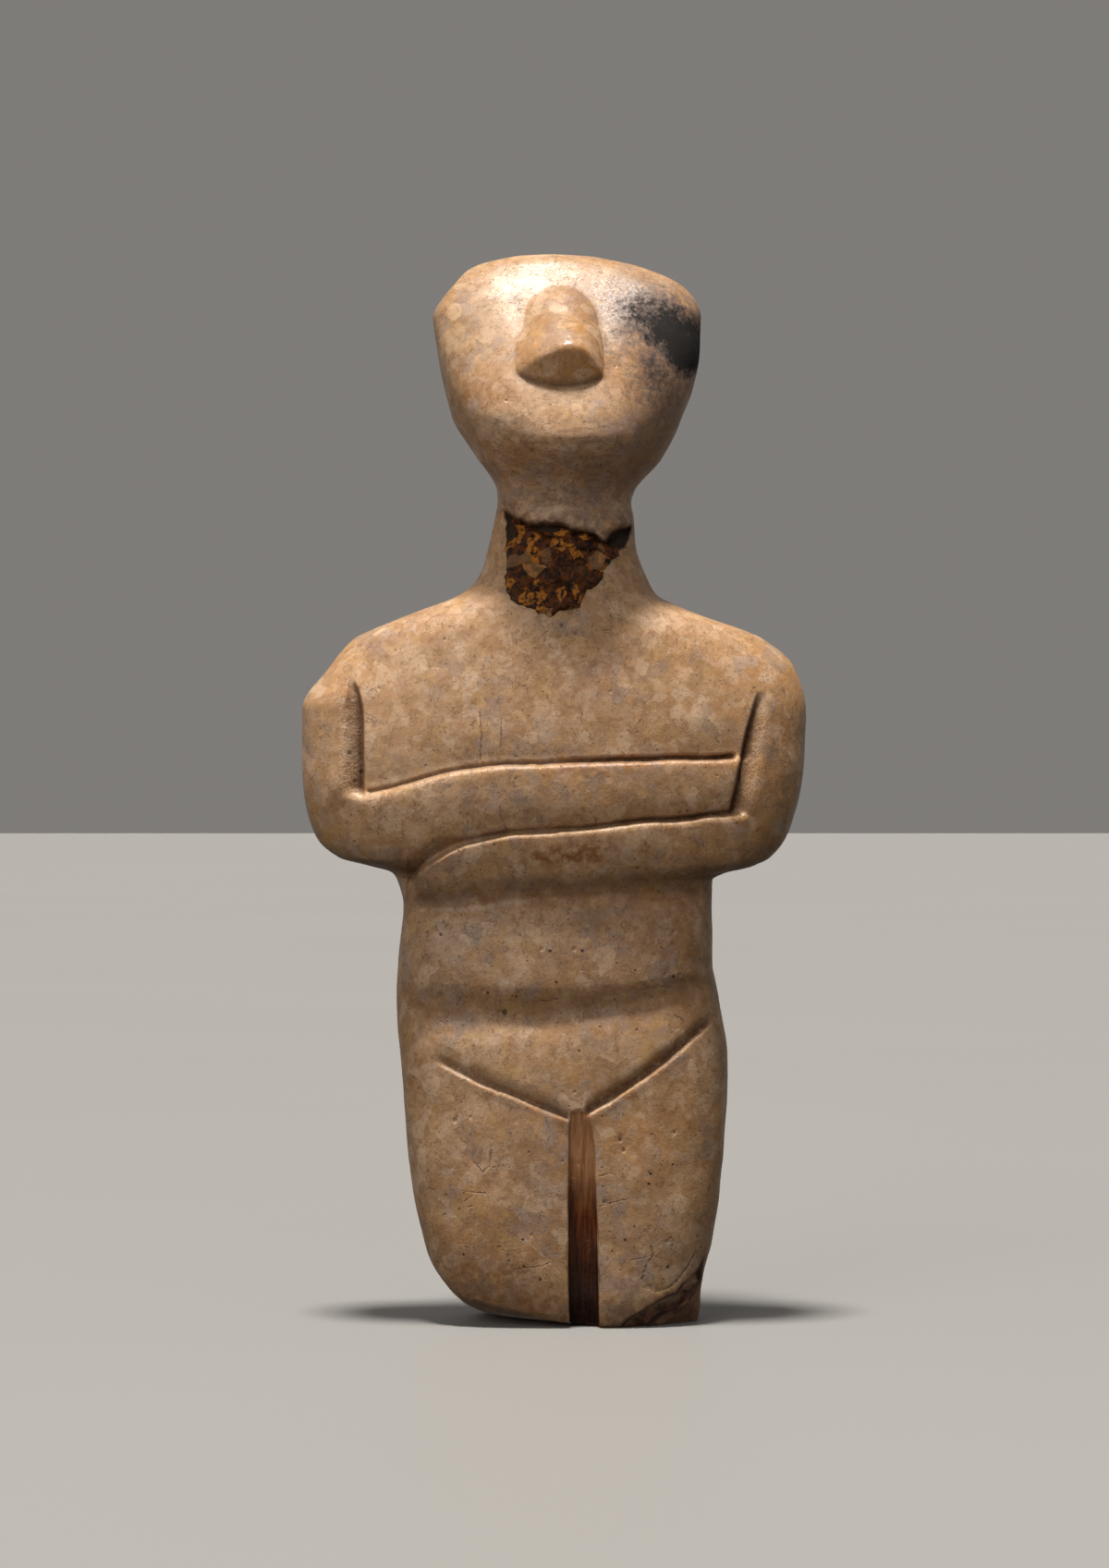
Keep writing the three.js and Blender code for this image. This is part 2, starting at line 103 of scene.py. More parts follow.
RIGHT_GROIN = [(4.4, 29.9), (7.0, 31.4), (10.8, 33.8), (14.6, 36.5), (18.4, 39.4), (22.2, 42.5)]
# (z, x) of the foot of the wall at the chest's edge, beside each upper arm
LEFT_ARM = [(72.6, -26.1), (76, -26.2), (82, -26.2), (86, -26.6), (89.6, -27.6)]
RIGHT_ARM = [(71.0, 24.0), (74, 24.6), (78.6, 25.5), (83.7, 26.7), (87.6, 27.9)]
# (x, z) of the ragged edge of the old break across the throat
RIM = [(-9.2, 114.2), (-7.5, 113.5), (-4.3, 111.7), (-3.3, 111.2), (1.0, 110.9), (3.2, 110.2),
       (5.4, 110.2), (6.9, 109.1), (8.0, 110.2), (11.2, 111.6), (13, 112.3)]
# (x, z) round the spall below it, and round the crust that is left in it
SPALL = [(-7.4, 113.4), (-6.9, 111.2), (-7.0, 107.8), (-6.5, 104.9), (-6.7, 102.6), (-6.1, 100.9),
         (-4.7, 99.8), (-3.1, 99.1), (-0.9, 98.7), (1.5, 99.0), (2.8, 99.8), (3.4, 101.2),
         (4.7, 102.1), (6.3, 103.5), (7.1, 105.6), (8.5, 106.9), (9.9, 107.7), (10.8, 109.0),
         (11.2, 111.6)]
CRUST = [(-7.2, 112.6), (-7.1, 111.2), (-7.3, 107.8), (-6.9, 104.9), (-7.2, 102.5), (-6.6, 100.4),
         (-5.0, 99.2), (-3.2, 98.5), (-0.9, 98.0), (1.8, 98.3), (3.4, 99.3), (4.0, 100.6),
         (5.1, 101.5), (6.9, 103.0), (7.7, 105.2), (8.9, 106.3), (10.2, 107.2), (10.4, 108.2),
         (8.0, 108.4), (6.4, 109.1), (4.6, 110.0), (2.6, 110.3), (0.6, 109.9), (-2.6, 110.1),
         (-4.0, 111.2)]
# (x, z) of the edge of the broken corner of the leg
CORNER = [(8.4, 0.0), (9.1, 1.0), (12.2, 2.7), (15.4, 4.7), (17.5, 5.8), (19.7, 7.8), (21.2, 10.2)]

# how the forms of the trunk overlap from the neck down, each with a lip that stands over
# the one above it: height on the middle line, and how far the surface stands out there
TRUNK = [
    (30, 0), (36, 0.1), (39.5, 0.02), (41.0, -0.2), (42.0, -0.45), (43.4, -0.68), (44.9, -0.35),
    (46.2, 0.28), (47.1, 0.56), (49, 0.62), (52, 0.45), (55, 0.05), (57, -0.4), (58.0, -0.8),
    (58.6, -1.2), (59.4, -1.42), (60.2, -1.25), (61.2, -0.75), (62.2, -0.15), (63.2, 0.3),
    (64.6, 0.6), (66.2, 0.74), (67.6, 0.76), (68.1, 0.62), (68.4, 0.25), (68.7, -0.12),
    (68.95, -0.2), (69.2, -0.05), (69.6, 0.2), (70.2, 0.38), (71, 0.52), (72.5, 0.62),
    (74.5, 0.66), (76.4, 0.64), (77.1, 0.54), (77.45, 0.26), (77.8, -0.15), (78.2, -0.34),
    (78.8, -0.36), (80, -0.25), (82, -0.1), (84, 0), (90, 0),
]
NOSE_PLAN = [(129.6, -4.8, 1.9, 6.6), (134, -5.2, 2.0, 6.6), (139.3, -4.0, 1.6, 5.9),
             (143.6, -3.6, 0.8, 4.7)]        # height, left edge, ridge, right edge
SLOT_PLAN = [(0, 1.9, 6.3), (5, 1.85, 6.2), (17.7, 1.78, 5.9), (26.6, 1.9, 5.46), (29.5, 2.03, 4.75),
             (31, 2.1, 4.5)]                 # height, left edge, right edge


# ------------------------------------------------------------------------ small functions


def smooth(a, b, v):
    t = np.clip((v - a) / (b - a), 0.0, 1.0)
    return t * t * (3 - 2 * t)


def bell(v, width):
    return np.exp(-(v * v) / (width * width))


def curve(rows, k=0, c=1):
    """Shape-preserving cubic through rows, as a function of column k."""
    xs = np.array([r[k] for r in rows], float)
    ys = np.array([r[c] for r in rows], float)
    h = np.diff(xs)
    d = np.diff(ys) / h
    m = np.zeros(len(xs))
    m[0], m[-1] = d[0], d[-1]
    for i in range(1, len(xs) - 1):
        if d[i - 1] * d[i] > 0:
            w1, w2 = 2 * h[i] + h[i - 1], h[i] + 2 * h[i - 1]
            m[i] = (w1 + w2) / (w1 / d[i - 1] + w2 / d[i])

    def at(v):
        q = np.clip(v, xs[0], xs[-1])
        i = np.clip(np.searchsorted(xs, q, side="right") - 1, 0, len(xs) - 2)
        t = (q - xs[i]) / h[i]
        return (
            (2 * t**3 - 3 * t**2 + 1) * ys[i]
            + (t**3 - 2 * t**2 + t) * h[i] * m[i]
            + (3 * t**2 - 2 * t**3) * ys[i + 1]
            + (t**3 - t**2) * h[i] * m[i + 1]
        )

    return at


def _hash(ix, iy, iz, seed):
    h = (
        ix.astype(np.uint32) * np.uint32(374761393)
        + iy.astype(np.uint32) * np.uint32(668265263)
        + iz.astype(np.uint32) * np.uint32(2246822519)
        + np.uint32((seed * 3266489917) & 0xFFFFFFFF)
    )
    h = (h ^ (h >> np.uint32(15))) * np.uint32(2246822519)
    h = (h ^ (h >> np.uint32(13))) * np.uint32(3266489917)
    h = h ^ (h >> np.uint32(16))
    return h.astype(np.float32) / np.float32(4294967295.0) * 2 - 1


def noise(x, y, z, size, seed, octaves=1, gain=0.5):
    """Smooth noise between about -1 and 1 with features of that size in mm."""
    total, amp, norm = 0.0, 1.0, 0.0
    for o in range(octaves):
        f = 2.0**o / size
        px, py, pz = x * f + 101.3 * (o + 1), y * f + 57.9, z * f + 33.1
        ix, iy, iz = np.floor(px), np.floor(py), np.floor(pz)
        tx, ty, tz = (px - ix), (py - iy), (pz - iz)
        tx, ty, tz = (t * t * t * (t * (t * 6 - 15) + 10) for t in (tx, ty, tz))
        ix, iy, iz = ix.astype(np.int64), iy.astype(np.int64), iz.astype(np.int64)
        s = seed * 31 + o
        v = 0.0
        for dx in (0, 1):
            wx = tx if dx else 1 - tx
            for dy in (0, 1):
                wy = ty if dy else 1 - ty
                for dz in (0, 1):
                    wz = tz if dz else 1 - tz
                    v = v + wx * wy * wz * _hash(ix + dx, iy + dy, iz + dz, s)
        total = total + amp * v
        norm += amp
        amp *= gain
    return total / norm * 1.5


def polyline_distance(x, z, points, closed=False):
    """Distance to a polyline in the front plane, and how far along it the nearest point is."""
    best = np.full(np.shape(x), 1e9)
    along = np.zeros(np.shape(x))
    run = 0.0
    pairs = list(zip(points, points[1:] + ([points[0]] if closed else [])))
    for (ax, az), (bx, bz) in pairs[: len(points) - (0 if closed else 1)]:
        vx, vz = bx - ax, bz - az
        length = (vx * vx + vz * vz) ** 0.5
        t = np.clip(((x - ax) * vx + (z - az) * vz) / (length * length), 0, 1)
        d = np.hypot(x - ax - t * vx, z - az - t * vz)
        near = d < best
        best = np.where(near, d, best)
        along = np.where(near, run + t * length, along)
        run += length
    return best, along / run


def inside(x, z, points):
    """Signed distance to a closed outline in the front plane, positive inside."""
    d, _ = polyline_distance(x, z, points, closed=True)
    odd = np.zeros(np.shape(x), bool)
    for (ax, az), (bx, bz) in zip(points, points[1:] + [points[0]]):
        cross = (az > z) != (bz > z)
        odd ^= cross & (x < (bx - ax) * (z - az) / ((bz - az) or 1e-9) + ax)
    return np.where(odd, d, -d)


left_edge, right_edge = curve(OUTLINE, 0, 1), curve(OUTLINE, 0, 2)
front_depth, back_depth = curve(FRONT), curve(BACK)
edge_depth, front_square, back_square = (curve(EDGE, 0, c) for c in (1, 2, 3))
over_forearm, between, under, roll, lower_belly = (
    curve(c) for c in (OVER_FOREARM, BETWEEN, UNDER, ROLL, LOWER_BELLY)
)
trunk, corner_edge = curve(TRUNK), curve(CORNER)
nose_left, nose_ridge, nose_right = (curve(NOSE_PLAN, 0, c) for c in (1, 2, 3))
slot_left, slot_right = curve(SLOT_PLAN, 0, 1), curve(SLOT_PLAN, 0, 2)
left_groin, right_groin = curve(LEFT_GROIN), curve(RIGHT_GROIN)
left_arm, right_arm = curve(LEFT_ARM), curve(RIGHT_ARM)
rim = curve(RIM)


def slope(f, v, step=0.2):
    return (f(v + step) - f(v - step)) / (2 * step)


def section(z):
    left, right = left_edge(z), right_edge(z)
    t = np.clip((z - TEMPLE_Z) / (CROWN_Z - TEMPLE_Z), 0, 1)
    al = np.maximum(0, 1 - t**ROUND_LEFT) ** (1 / ROUND_LEFT)
    ar = np.maximum(0, 1 - t**ROUND_RIGHT) ** (1 / ROUND_RIGHT)
    top = z > TEMPLE_Z
    left = np.where(top, CROWN_X - 0.6 + (left - CROWN_X + 0.6) * al, left)
    right = np.where(top, CROWN_X + 0.6 + (right - CROWN_X - 0.6) * ar, right)
    return left, right, front_depth(z), back_depth(z), edge_depth(z), front_square(z), back_square(z)


# -------------------------------------------------------------------------- the carving


def matching(x, z):
    """Height on the middle line that matches a point, so that the carved lines keep their
    own shapes."""
    lines = (lower_belly, roll, under, between, over_forearm)
    here = [30.0] + [f(x) for f in lines] + [90.0]
    middle = [30.0] + [float(f(0.0)) for f in lines] + [90.0]
    out = np.array(z, float)
    for lo, hi, p, q in zip(here, here[1:], middle, middle[1:]):
        t = (z - lo) / (hi - lo)
        out = np.where((t >= 0) & (t < 1), p + (q - p) * t, out)
    return out


def incision(d, depth, up, down, tail=0.0, reach=2.0):
    """Depth of a cut at signed distance d from its line: a slope above it (d > 0), longer
    by the share in tail, and a short wall below."""
    above = (1 - tail) * (1 - smooth(0.08, up, d)) + tail * (1 - smooth(0.08, reach, d))
    return depth * np.where(d >= 0, above, 1 - smooth(0.08, down, -d))


def nose_rise(x, z):
    arch = np.where(z > 140.8, np.sqrt(np.maximum(0, 1 - ((z - 140.8) / 3.9) ** 2)), 1.0)
    ridge = nose_ridge(z)
    right_side = x >= ridge
    half = np.where(right_side, nose_right(z) - ridge, ridge - nose_left(z)) * arch * 1.04
    half = np.maximum(half, 0.05)
    u = np.abs(x - ridge) / half
    # a rounded wedge: fuller on the right, running out in a soft foot on both sides
    full = np.where(right_side, 1 - np.minimum(u, 1) ** 2.3, 1 - np.minimum(u, 1) ** 1.75)
    across = np.maximum(0, full) ** 1.15
    wedge = 4.5 * (144.6 - z) / 9.3 * across
    base = 129.5 + 1.3 * ((x - 1.2) / 5.6) ** 2
    below = 4.7 * (z - base) / 5.7
    k = 0.30
    r = -k * np.logaddexp(-wedge / k, -below / k)
    k = 0.10
    r = k * np.logaddexp(r / k, 0.0) - k * np.log(2.0) * np.exp(-(r / 0.5) ** 2)
    foot = 0.14 * bell(np.maximum(u - 0.85, 0), 0.28) * smooth(131.5, 134.5, z) * smooth(144.2, 139, z)
    r = np.maximum(r, 0) + foot * smooth(0.55, 0.95, u) * np.exp(-np.maximum(r, 0) / 0.8)
    # the crease along its foot, where it meets the face below
    crease = 0.05 * bell(z - base + 0.1, 0.7) * smooth(7.4, 5.6, np.abs(x - 1.0))
    return np.where((z > 127.0) & (z < 147.5), r - crease, 0.0)


def arms(x):
    return np.maximum(smooth(-25.6, -28.4, x), smooth(24.8, 27.6, x))


def carving(x, z):
    """Everything carved on the front, positive towards the viewer, with the shares of each
    point that lie in a cut and in the slot."""
    w = noise(x, z * 0, z, 4.5, 3, 1) * 0.10 + noise(x, z * 0, z, 1.3, 4, 1) * 0.035
    arm = arms(x)
    r = trunk(matching(x, z + w)) * (1 - arm) + 0.4 * arm * smooth(58, 63, z) * smooth(97, 88, z)
    r = np.where((z > 30) & (z < 97), r, 0)
    r = r - 0.25 * bell(x - 3.6, 3.4) * (1 - smooth(26, 31, z))
    # how much each point is darkened in the cuts: brown soil, with painted shade where shade falls in them
    dirt_and_shade = np.zeros(np.shape(x))

    def carve(depth_now, share):
        nonlocal r, dirt_and_shade
        r = r - depth_now
        dirt_and_shade = np.maximum(dirt_and_shade, share)

    # over the upper forearm: a fine line, cut deeper towards the hand
    q = slope(over_forearm, x)
    d = (z - over_forearm(x)) / np.sqrt(1 + q * q) + w
    ends = smooth(-26.0, -25.2, x) * (1 - smooth(24.2, 25.2, x))
    depth = (0.42 + 0.42 * smooth(-2, 10, x) + 0.35 * bell(x - 22.8, 1.6)) * ends
    g = incision(d, depth, 0.55 + 0.25 * smooth(-2, 10, x), 0.46)
    carve(g, np.clip(1.5 * g, 0, 1))

    # between the forearms, and the hollow where it runs out under the elbow
    q = slope(between, x)
    d = (z - between(x)) / np.sqrt(1 + q * q) + w
    ends = smooth(-21.8, -19.8, x) * (1 - smooth(24.0, 25.0, x))
    depth = (0.55 + 0.25 * smooth(6, 16, x) + 0.25 * smooth(-13, -18, x)) * ends
    g = incision(d, depth, 0.6 + 1.9 * smooth(-10, -17, x), 0.48 + 0.5 * smooth(-10, -18, x))
    carve(g, np.clip(1.3 * g, 0, 1) * (1 - 0.45 * smooth(-4, -14, x)))
    h = bell(np.hypot((x + 19.7 + 0.6 * (z - 62)) / 1.9, (z - 62.2) / 3.2), 1.0)
    carve(0.85 * h, 0.7 * h)

    # trough beside the viewer's left arm: steep at the chest, fading to the arm
    e = left_arm(z)
    d = e - x + 0.6 * w                               # positive on the arm's side
    fade = smooth(72.8, 74.6, z) * (1 - smooth(87.6, 89.8, z))
    broad = 3.5 - 2.4 * smooth(83.5, 89.5, z)
    g = (1.35 - 0.55 * smooth(83, 89, z)) * fade * smooth(-0.22, 0.3, d)
    g = g * (0.25 * (1 - smooth(0.3, 1.0, d)) + 0.75 * (1 - smooth(1.1, broad, d)))
    rough = noise(x, z * 0, z, 0.55, 11, 1) * 0.025 + noise(x, z * 0, z, 1.1, 12, 1) * 0.03
    carve(g, np.clip(1.5 * g - 0.45, 0, 1) * bell(np.maximum(d - 0.2, 0), 1.1))
    grain = fade * smooth(0.0, 0.5, d) * (1 - smooth(broad - 1.0, broad + 0.3, d))
    r = r - rough * grain

    # groove beside the other arm: a wall at the chest, a slope up to the arm
    e = right_arm(z)
    d = x - e + 0.6 * w
    fade = smooth(70.6, 71.8, z) * (1 - smooth(85.6, 88.0, z))
    broad = 3.1 - 1.6 * smooth(81, 88, z)
    g = (1.35 - 0.55 * smooth(80, 87, z)) * fade * smooth(-0.22, 0.25, d)
    g = g * (0.30 * (1 - smooth(0.25, 0.9, d)) + 0.70 * (1 - smooth(0.7, broad, d)))
    carve(g, np.clip(1.5 * g - 0.4, 0, 1) * bell(np.maximum(d - 0.2, 0), 1.1))
    r = r - 0.6 * rough * fade * smooth(0.3, 0.9, d) * (1 - smooth(broad - 0.9, broad, d))
    r = r + 0.18 * fade * bell(d - broad - 0.4, 0.8)

    # lines of the pubic triangle
    for f, lo, hi, depth, up, tail in (
        (left_groin, -17.3, 2.0, 0.50, 1.0, 0.4),
        (right_groin, 4.2, 22.6, 0.80, 1.5, 0.3),
    ):
        q = slope(f, x)
        d = (z - f(x)) / np.sqrt(1 + q * q) + w
        if lo < 0:
            ends = smooth(lo, lo + 3.0, x) * (1 - smooth(hi - 0.4, hi + 0.2, x))
        else:
            ends = smooth(lo - 0.3, lo + 0.6, x) * (1 - smooth(hi - 1.8, hi + 0.6, x))
        g = incision(d, depth * ends, up, 0.62, tail, 2.4)
        carve(g, np.clip(1.35 * g, 0, 1))
        r = r + (0.05 if lo < 0 else 0.08) * ends * bell(d + 0.9, 0.8)
    rough = noise(x, z * 0, z, 0.6, 13, 2) * 0.025
    r = r + rough * bell(z - right_groin(x) + 0.9, 0.8) * smooth(5, 9, x) * (1 - smooth(19, 22, x))

    # slot between the legs, shallow where it starts
    n1 = noise(x, z * 0, z, 3.0, 21, 2) * 0.05
    d = np.minimum(x - slot_left(z), slot_right(z) - x) + n1
    d = np.minimum(d, (30.5 - z - 0.22 * (x - 3.4) ** 2) * 0.30)
    slot = smooth(0, 0.32, d)
    floor = 0.36 + 1.4 * (1 - smooth(13, 30, z))
    floor = floor + 0.05 * noise(x * 3, z * 0, z * 0.2, 1.2, 22, 2) + 0.12 * smooth(0.3, 1.6, d)
    r = r - slot * floor

    r = r + nose_rise(x, z)
    # the face turns away more sharply on the right
    r = r - 0.8 * smooth(8.5, 16, x) * bell(z - 128, 9)
    # and is fuller at the cheek on the left
    r = r + 1.2 * smooth(137, 125.5, z) * smooth(117, 122, z) * smooth(-2, -11, x)
    return r, dirt_and_shade, slot


def back_relief(x, z):
    r = 0.9 * bell(np.hypot((np.abs(x - 1) - 9) / 8, (z - 39) / 8), 1)
    r = r - 0.5 * bell(x - 1, 2.6) * smooth(46, 56, z) * (1 - smooth(88, 97, z))
    r = r - 0.55 * bell(np.abs(x) - 25.5, 2.4) * smooth(66, 71, z) * (1 - smooth(86, 91, z))
    r = r - 0.3 * bell(z - 62.5, 2.4)
    w = noise(x, z * 0, z, 4.0, 31, 2) * 0.12
    cleft = bell(x - 1.6 + w, 0.75) * (1 - smooth(29, 34, z))
    r = r - 0.75 * cleft
    return r, cleft


def throat(x, z):
    """The old break: its lip stands proud, and the stone below it has spalled away."""
    w = noise(x, z * 0, z, 2.2, 41, 2) * 0.3 + noise(x, z * 0, z, 0.7, 42, 1) * 0.1
    edge = rim(x) + w * 0.7
    span = smooth(-9.6, -7.6, x) * (1 - smooth(11.2, 13.4, x))
    lip = 0.4 * bell(z - edge - 0.7, 1.3) * span * smooth(-0.1, 0.25, z - edge)
    s = np.minimum(inside(x, z, SPALL) + 0.5 * w, (edge - z) * 1.3)
    hole = smooth(0.0, 0.55, s)
    depth = 0.95 * hole + 0.9 * hole * smooth(0.3, 0.9, s) * smooth(2.6, 0.6, edge - z)
    # the break runs on past the spall as a ragged step
    step = 0.3 * smooth(0.1, -0.3, z - edge) * smooth(3.0, 0.2, edge - z) * span
    return lip - np.maximum(depth, step), hole


def pits(seed, count, box, radius):
    rng = np.random.default_rng(seed)
    p = np.column_stack([rng.uniform(box[0], box[1], count), rng.uniform(box[2], box[3], count)])
    return p, rng.uniform(radius[0], radius[1], count), rng.uniform(0.5, 1.0, count)


def stamp(X, Z, out, centres, radii, strength, depth, field=None, axis_x=None, axis_z=None):
    """Presses small pits into a grid, each only over the rows and columns near it."""
    for (cx, cz), rad, s in zip(centres, radii, strength):
        i0, i1 = np.searchsorted(axis_z, [cz - 3 * rad, cz + 3 * rad])
        if i0 == i1:
            continue
        xs, zs = X[i0:i1], Z[i0:i1]
        hit = (np.abs(xs - cx) < 3 * rad)
        if not hit.any():
            continue
        cols = np.where(hit.any(0))[0]
        j0, j1 = cols[0], cols[-1] + 1
        g = np.exp(-(((xs[:, j0:j1] - cx) ** 2 + (zs[:, j0:j1] - cz) ** 2) / rad**2) ** 1.5)
        out[i0:i1, j0:j1] += depth * s * g
        if field is not None:
            field[i0:i1, j0:j1] = np.maximum(field[i0:i1, j0:j1], g * s)


# -------------------------------------------------------------------------- the fine mesh

RINGS, ACROSS_FRONT, ACROSS_BACK = 1040, 540, 250


def levels(count):
    fine = np.linspace(0, CROWN_Z, 6000)
    s = section(fine)
    side = np.maximum(np.abs(np.diff(s[0])), np.abs(np.diff(s[1])))
    face = np.maximum(np.abs(np.diff(s[2])), np.abs(np.diff(s[3])))
    step = np.sqrt(np.diff(fine) ** 2 + (0.55 * side) ** 2 + (0.8 * face) ** 2)
    run = np.concatenate([[0], np.cumsum(step)])
    return np.interp(np.linspace(0, run[-1], count), run, fine)


def spread(z, side, count):
    """For each level, x positions at equal steps along the plain section, ends included."""
    left, right, front, back, edge, nf, nb = section(z)
    cx, half = (left + right) / 2, (right - left) / 2
    deep, n = (edge - front, nf) if side < 0 else (back - edge, nb)
    u = np.cos(np.pi * np.arange(301) / 300)
    out = np.empty((len(z), count))
    for i in range(len(z)):
        y = deep[i] * np.maximum(0, 1 - np.abs(u) ** n[i]) ** (1 / n[i])
        x = half[i] * u
        run = np.concatenate([[0], np.cumsum(np.hypot(np.diff(x), np.diff(y)))])
        out[i] = cx[i] - side * np.interp(np.linspace(0, run[-1], count), run, x) * -1
    return out if side > 0 else out[:, ::-1]


Zl = levels(RINGS)
Xb = spread(Zl, 1, ACROSS_BACK + 1)                   # from the right edge to the left
Xf = spread(Zl, -1, ACROSS_FRONT + 1)                 # from the left edge to the right
if Xb[0, 0] < Xb[0, -1]:
    Xb = Xb[:, ::-1]
if Xf[0, 0] > Xf[0, -1]:
    Xf = Xf[:, ::-1]
left, right, front, back, edge, nf, nb = (v[:, None] for v in section(Zl))
cx, half = (left + right) / 2, (right - left) / 2


def fade(u):
    return smooth(0, 0.16, 1 - u)


# front
Zf = np.broadcast_to(Zl[:, None], Xf.shape)
u = np.clip(np.abs(Xf - cx) / half, 0, 1)
relief, dirt_f, slot_f = carving(Xf, Zf)
Yf = edge - (edge - front) * np.maximum(0, 1 - u**nf) ** (1 / nf) - relief * fade(u)
neck_rows = (Zl > 95) & (Zl < 117)
t_relief, hole = throat(Xf[neck_rows], Zf[neck_rows])
Yf[neck_rows] -= t_relief * smooth(0, 0.1, 1 - u[neck_rows])
press = np.zeros_like(Xf)
for seed, count, radius, depth in ((1, 40, (0.13, 0.22), 0.16), (2, 5, (0.3, 0.45), 0.16)):
    centres, radii, s = pits(seed, count, (-34, 34, 1, 148), radius)
    stamp(Xf, Zf, press, centres, radii, s, depth, axis_z=Zl)
# the crack that runs beside the broken corner: points (x, z), width and depth
for points, width, depth in (
    (((12.5, 5.9), (14.3, 5.1), (15.8, 5.6), (17.4, 6.8), (18.7, 8.6), (19.8, 10.5)), 0.16, 0.12),
):
    i0, i1 = np.searchsorted(Zl, [min(p[1] for p in points) - 0.6, max(p[1] for p in points) + 0.6])
    xs, zs = Xf[i0:i1], Zf[i0:i1]
    wob = noise(xs, zs * 0, zs, 0.9, 71, 2) * 0.12
    dist, along = polyline_distance(xs + wob, zs - wob, list(points))
    line = bell(dist, width) * smooth(0, 0.08, along + 0.02) * smooth(1.0, 0.85, along)
    press[i0:i1] += depth * line
marks = [(-1.8, 52.3), (2.7, 52.3), (15.2, 48.7), (-7.5, 43.6), (-9.8, 46.5), (-12.0, 57.9), (16.4, 54.6),
         (-28.2, 79.2), (-26.7, 76.6), (9.0, 26.0), (9.5, 24.6), (16.5, 27.0), (6.9, 17.5), (15.6, 12.0)]
stamp(Xf, Zf, press, marks, [0.24] * len(marks), [1.0] * len(marks), 0.2, axis_z=Zl)
Yf = Yf + press * fade(u)

# back
Zb = np.broadcast_to(Zl[:, None], Xb.shape)
ub = np.clip(np.abs(Xb - cx) / half, 0, 1)
b_relief, cleft = back_relief(Xb, Zb)
Yb = edge + (back - edge) * np.maximum(0, 1 - ub**nb) ** (1 / nb) + b_relief * fade(ub)
press = np.zeros_like(Xb)
for seed, count, radius, depth in ((5, 80, (0.15, 0.3), 0.22), (6, 12, (0.35, 0.7), 0.26)):
    centres, radii, s = pits(seed, count, (-34, 34, 1, 148), radius)
    stamp(Xb, Zb, press, centres, radii, s, depth, axis_z=Zl)
Yb = Yb - press * fade(ub)

ringX = np.concatenate([Xb[:, :-1], Xf[:, :-1]], 1)
ringY = np.concatenate([Yb[:, :-1], Yf[:, :-1]], 1)
ringZ = np.concatenate([Zb[:, :-1], Zf[:, :-1]], 1)
N = ringX.shape[1]

# flat caps as shrinking rings
CAP = 64


def cap(i, count, z):
    k = (1 - (np.arange(1, count) / count))[:, None]
    mx, my = ringX[i].mean(), ringY[i].mean()
    return (mx + (ringX[i] - mx) * k, my + (ringY[i] - my) * k, np.full((count - 1, N), z))


bottom = [v[::-1] for v in cap(0, CAP, 0.0)]
top = cap(-1, 6, Zl[-1])
GX, GY, GZ = (np.concatenate([b, r, t]) for b, r, t in zip(bottom, (ringX, ringY, ringZ), top))
rows = GX.shape[0]


def normals(gx, gy, gz):
    p = np.stack([gx, gy, gz], -1)
    du = np.roll(p, -1, 1) - np.roll(p, 1, 1)
    dv = np.empty_like(p)
    dv[1:-1] = p[2:] - p[:-2]
    dv[0], dv[-1] = p[1] - p[0], p[-1] - p[-2]
    n = np.cross(du, dv)
    return n / np.maximum(np.linalg.norm(n, axis=-1, keepdims=True), 1e-12)


# hand-worked unevenness, along the surface's own direction
def unevenness(px, py, pz):
    return 0.15 * noise(px, py, pz, 11, 51, 2) + 0.05 * noise(px, py, pz, 3.4, 52, 1)


n = normals(GX, GY, GZ)
swell = unevenness(GX, GY, GZ)
swell = swell * np.where(GZ < 0.01, 0, smooth(0, 2, GZ))
GX, GY, GZ = GX + n[..., 0] * swell, GY + n[..., 1] * swell, GZ + n[..., 2] * swell

# planes of fracture: what lies beyond one is pressed back to it
PLANES = (
    # three points on the plane, the outer side, the rule that limits it, how soft its edge is
    ((8.3, -10.4, 0.2), (16.5, -9.4, 5.0), (20.2, 0.5, 0.0), (1, -1, -1), (6.2, 12.0), 0.0),
    ((16.5, -9.4, 5.0), (20.9, -5.6, 9.2), (20.3, -1.5, 2.0), (1, -1, -1), (10.0, 12.5), 0.0),
    ((-16.2, -8.0, 5.4), (1.9, -10.5, 0.7), (-8.0, 0.0, 0.0), (-1, -1, -3), (None, 9.0), 1.3),
    ((-17.0, -8.0, 7.6), (-12.4, -8.0, 3.0), (-17.0, 4.0, 7.6), (-1, 0, -1), (None, 13.0), 0.9),
)


def beyond(px, py, pz, plane):
    a, b, c = (np.array(v, float) for v in plane[:3])
    m = np.cross(b - a, c - a)
    m /= np.linalg.norm(m)
    if m @ np.array(plane[3], float) < 0:
        m = -m
    d = (px - a[0]) * m[0] + (py - a[1]) * m[1] + (pz - a[2]) * m[2]
    lo, top = plane[4]
    near = (px > lo if lo is not None else px < 4.5) & (pz < top)
    return np.where(near, d, -9.0), m


# a worn facet on the head's upper left edge
d = ((GX + 12.4) * -0.786 + (GZ - 147.5) * 0.618) + 0.10
push = 0.16 * np.logaddexp(d / 0.16, 0.0) * (GZ > 138) * (GX < 0)
GX, GZ = GX + 0.786 * push, GZ - 0.618 * push

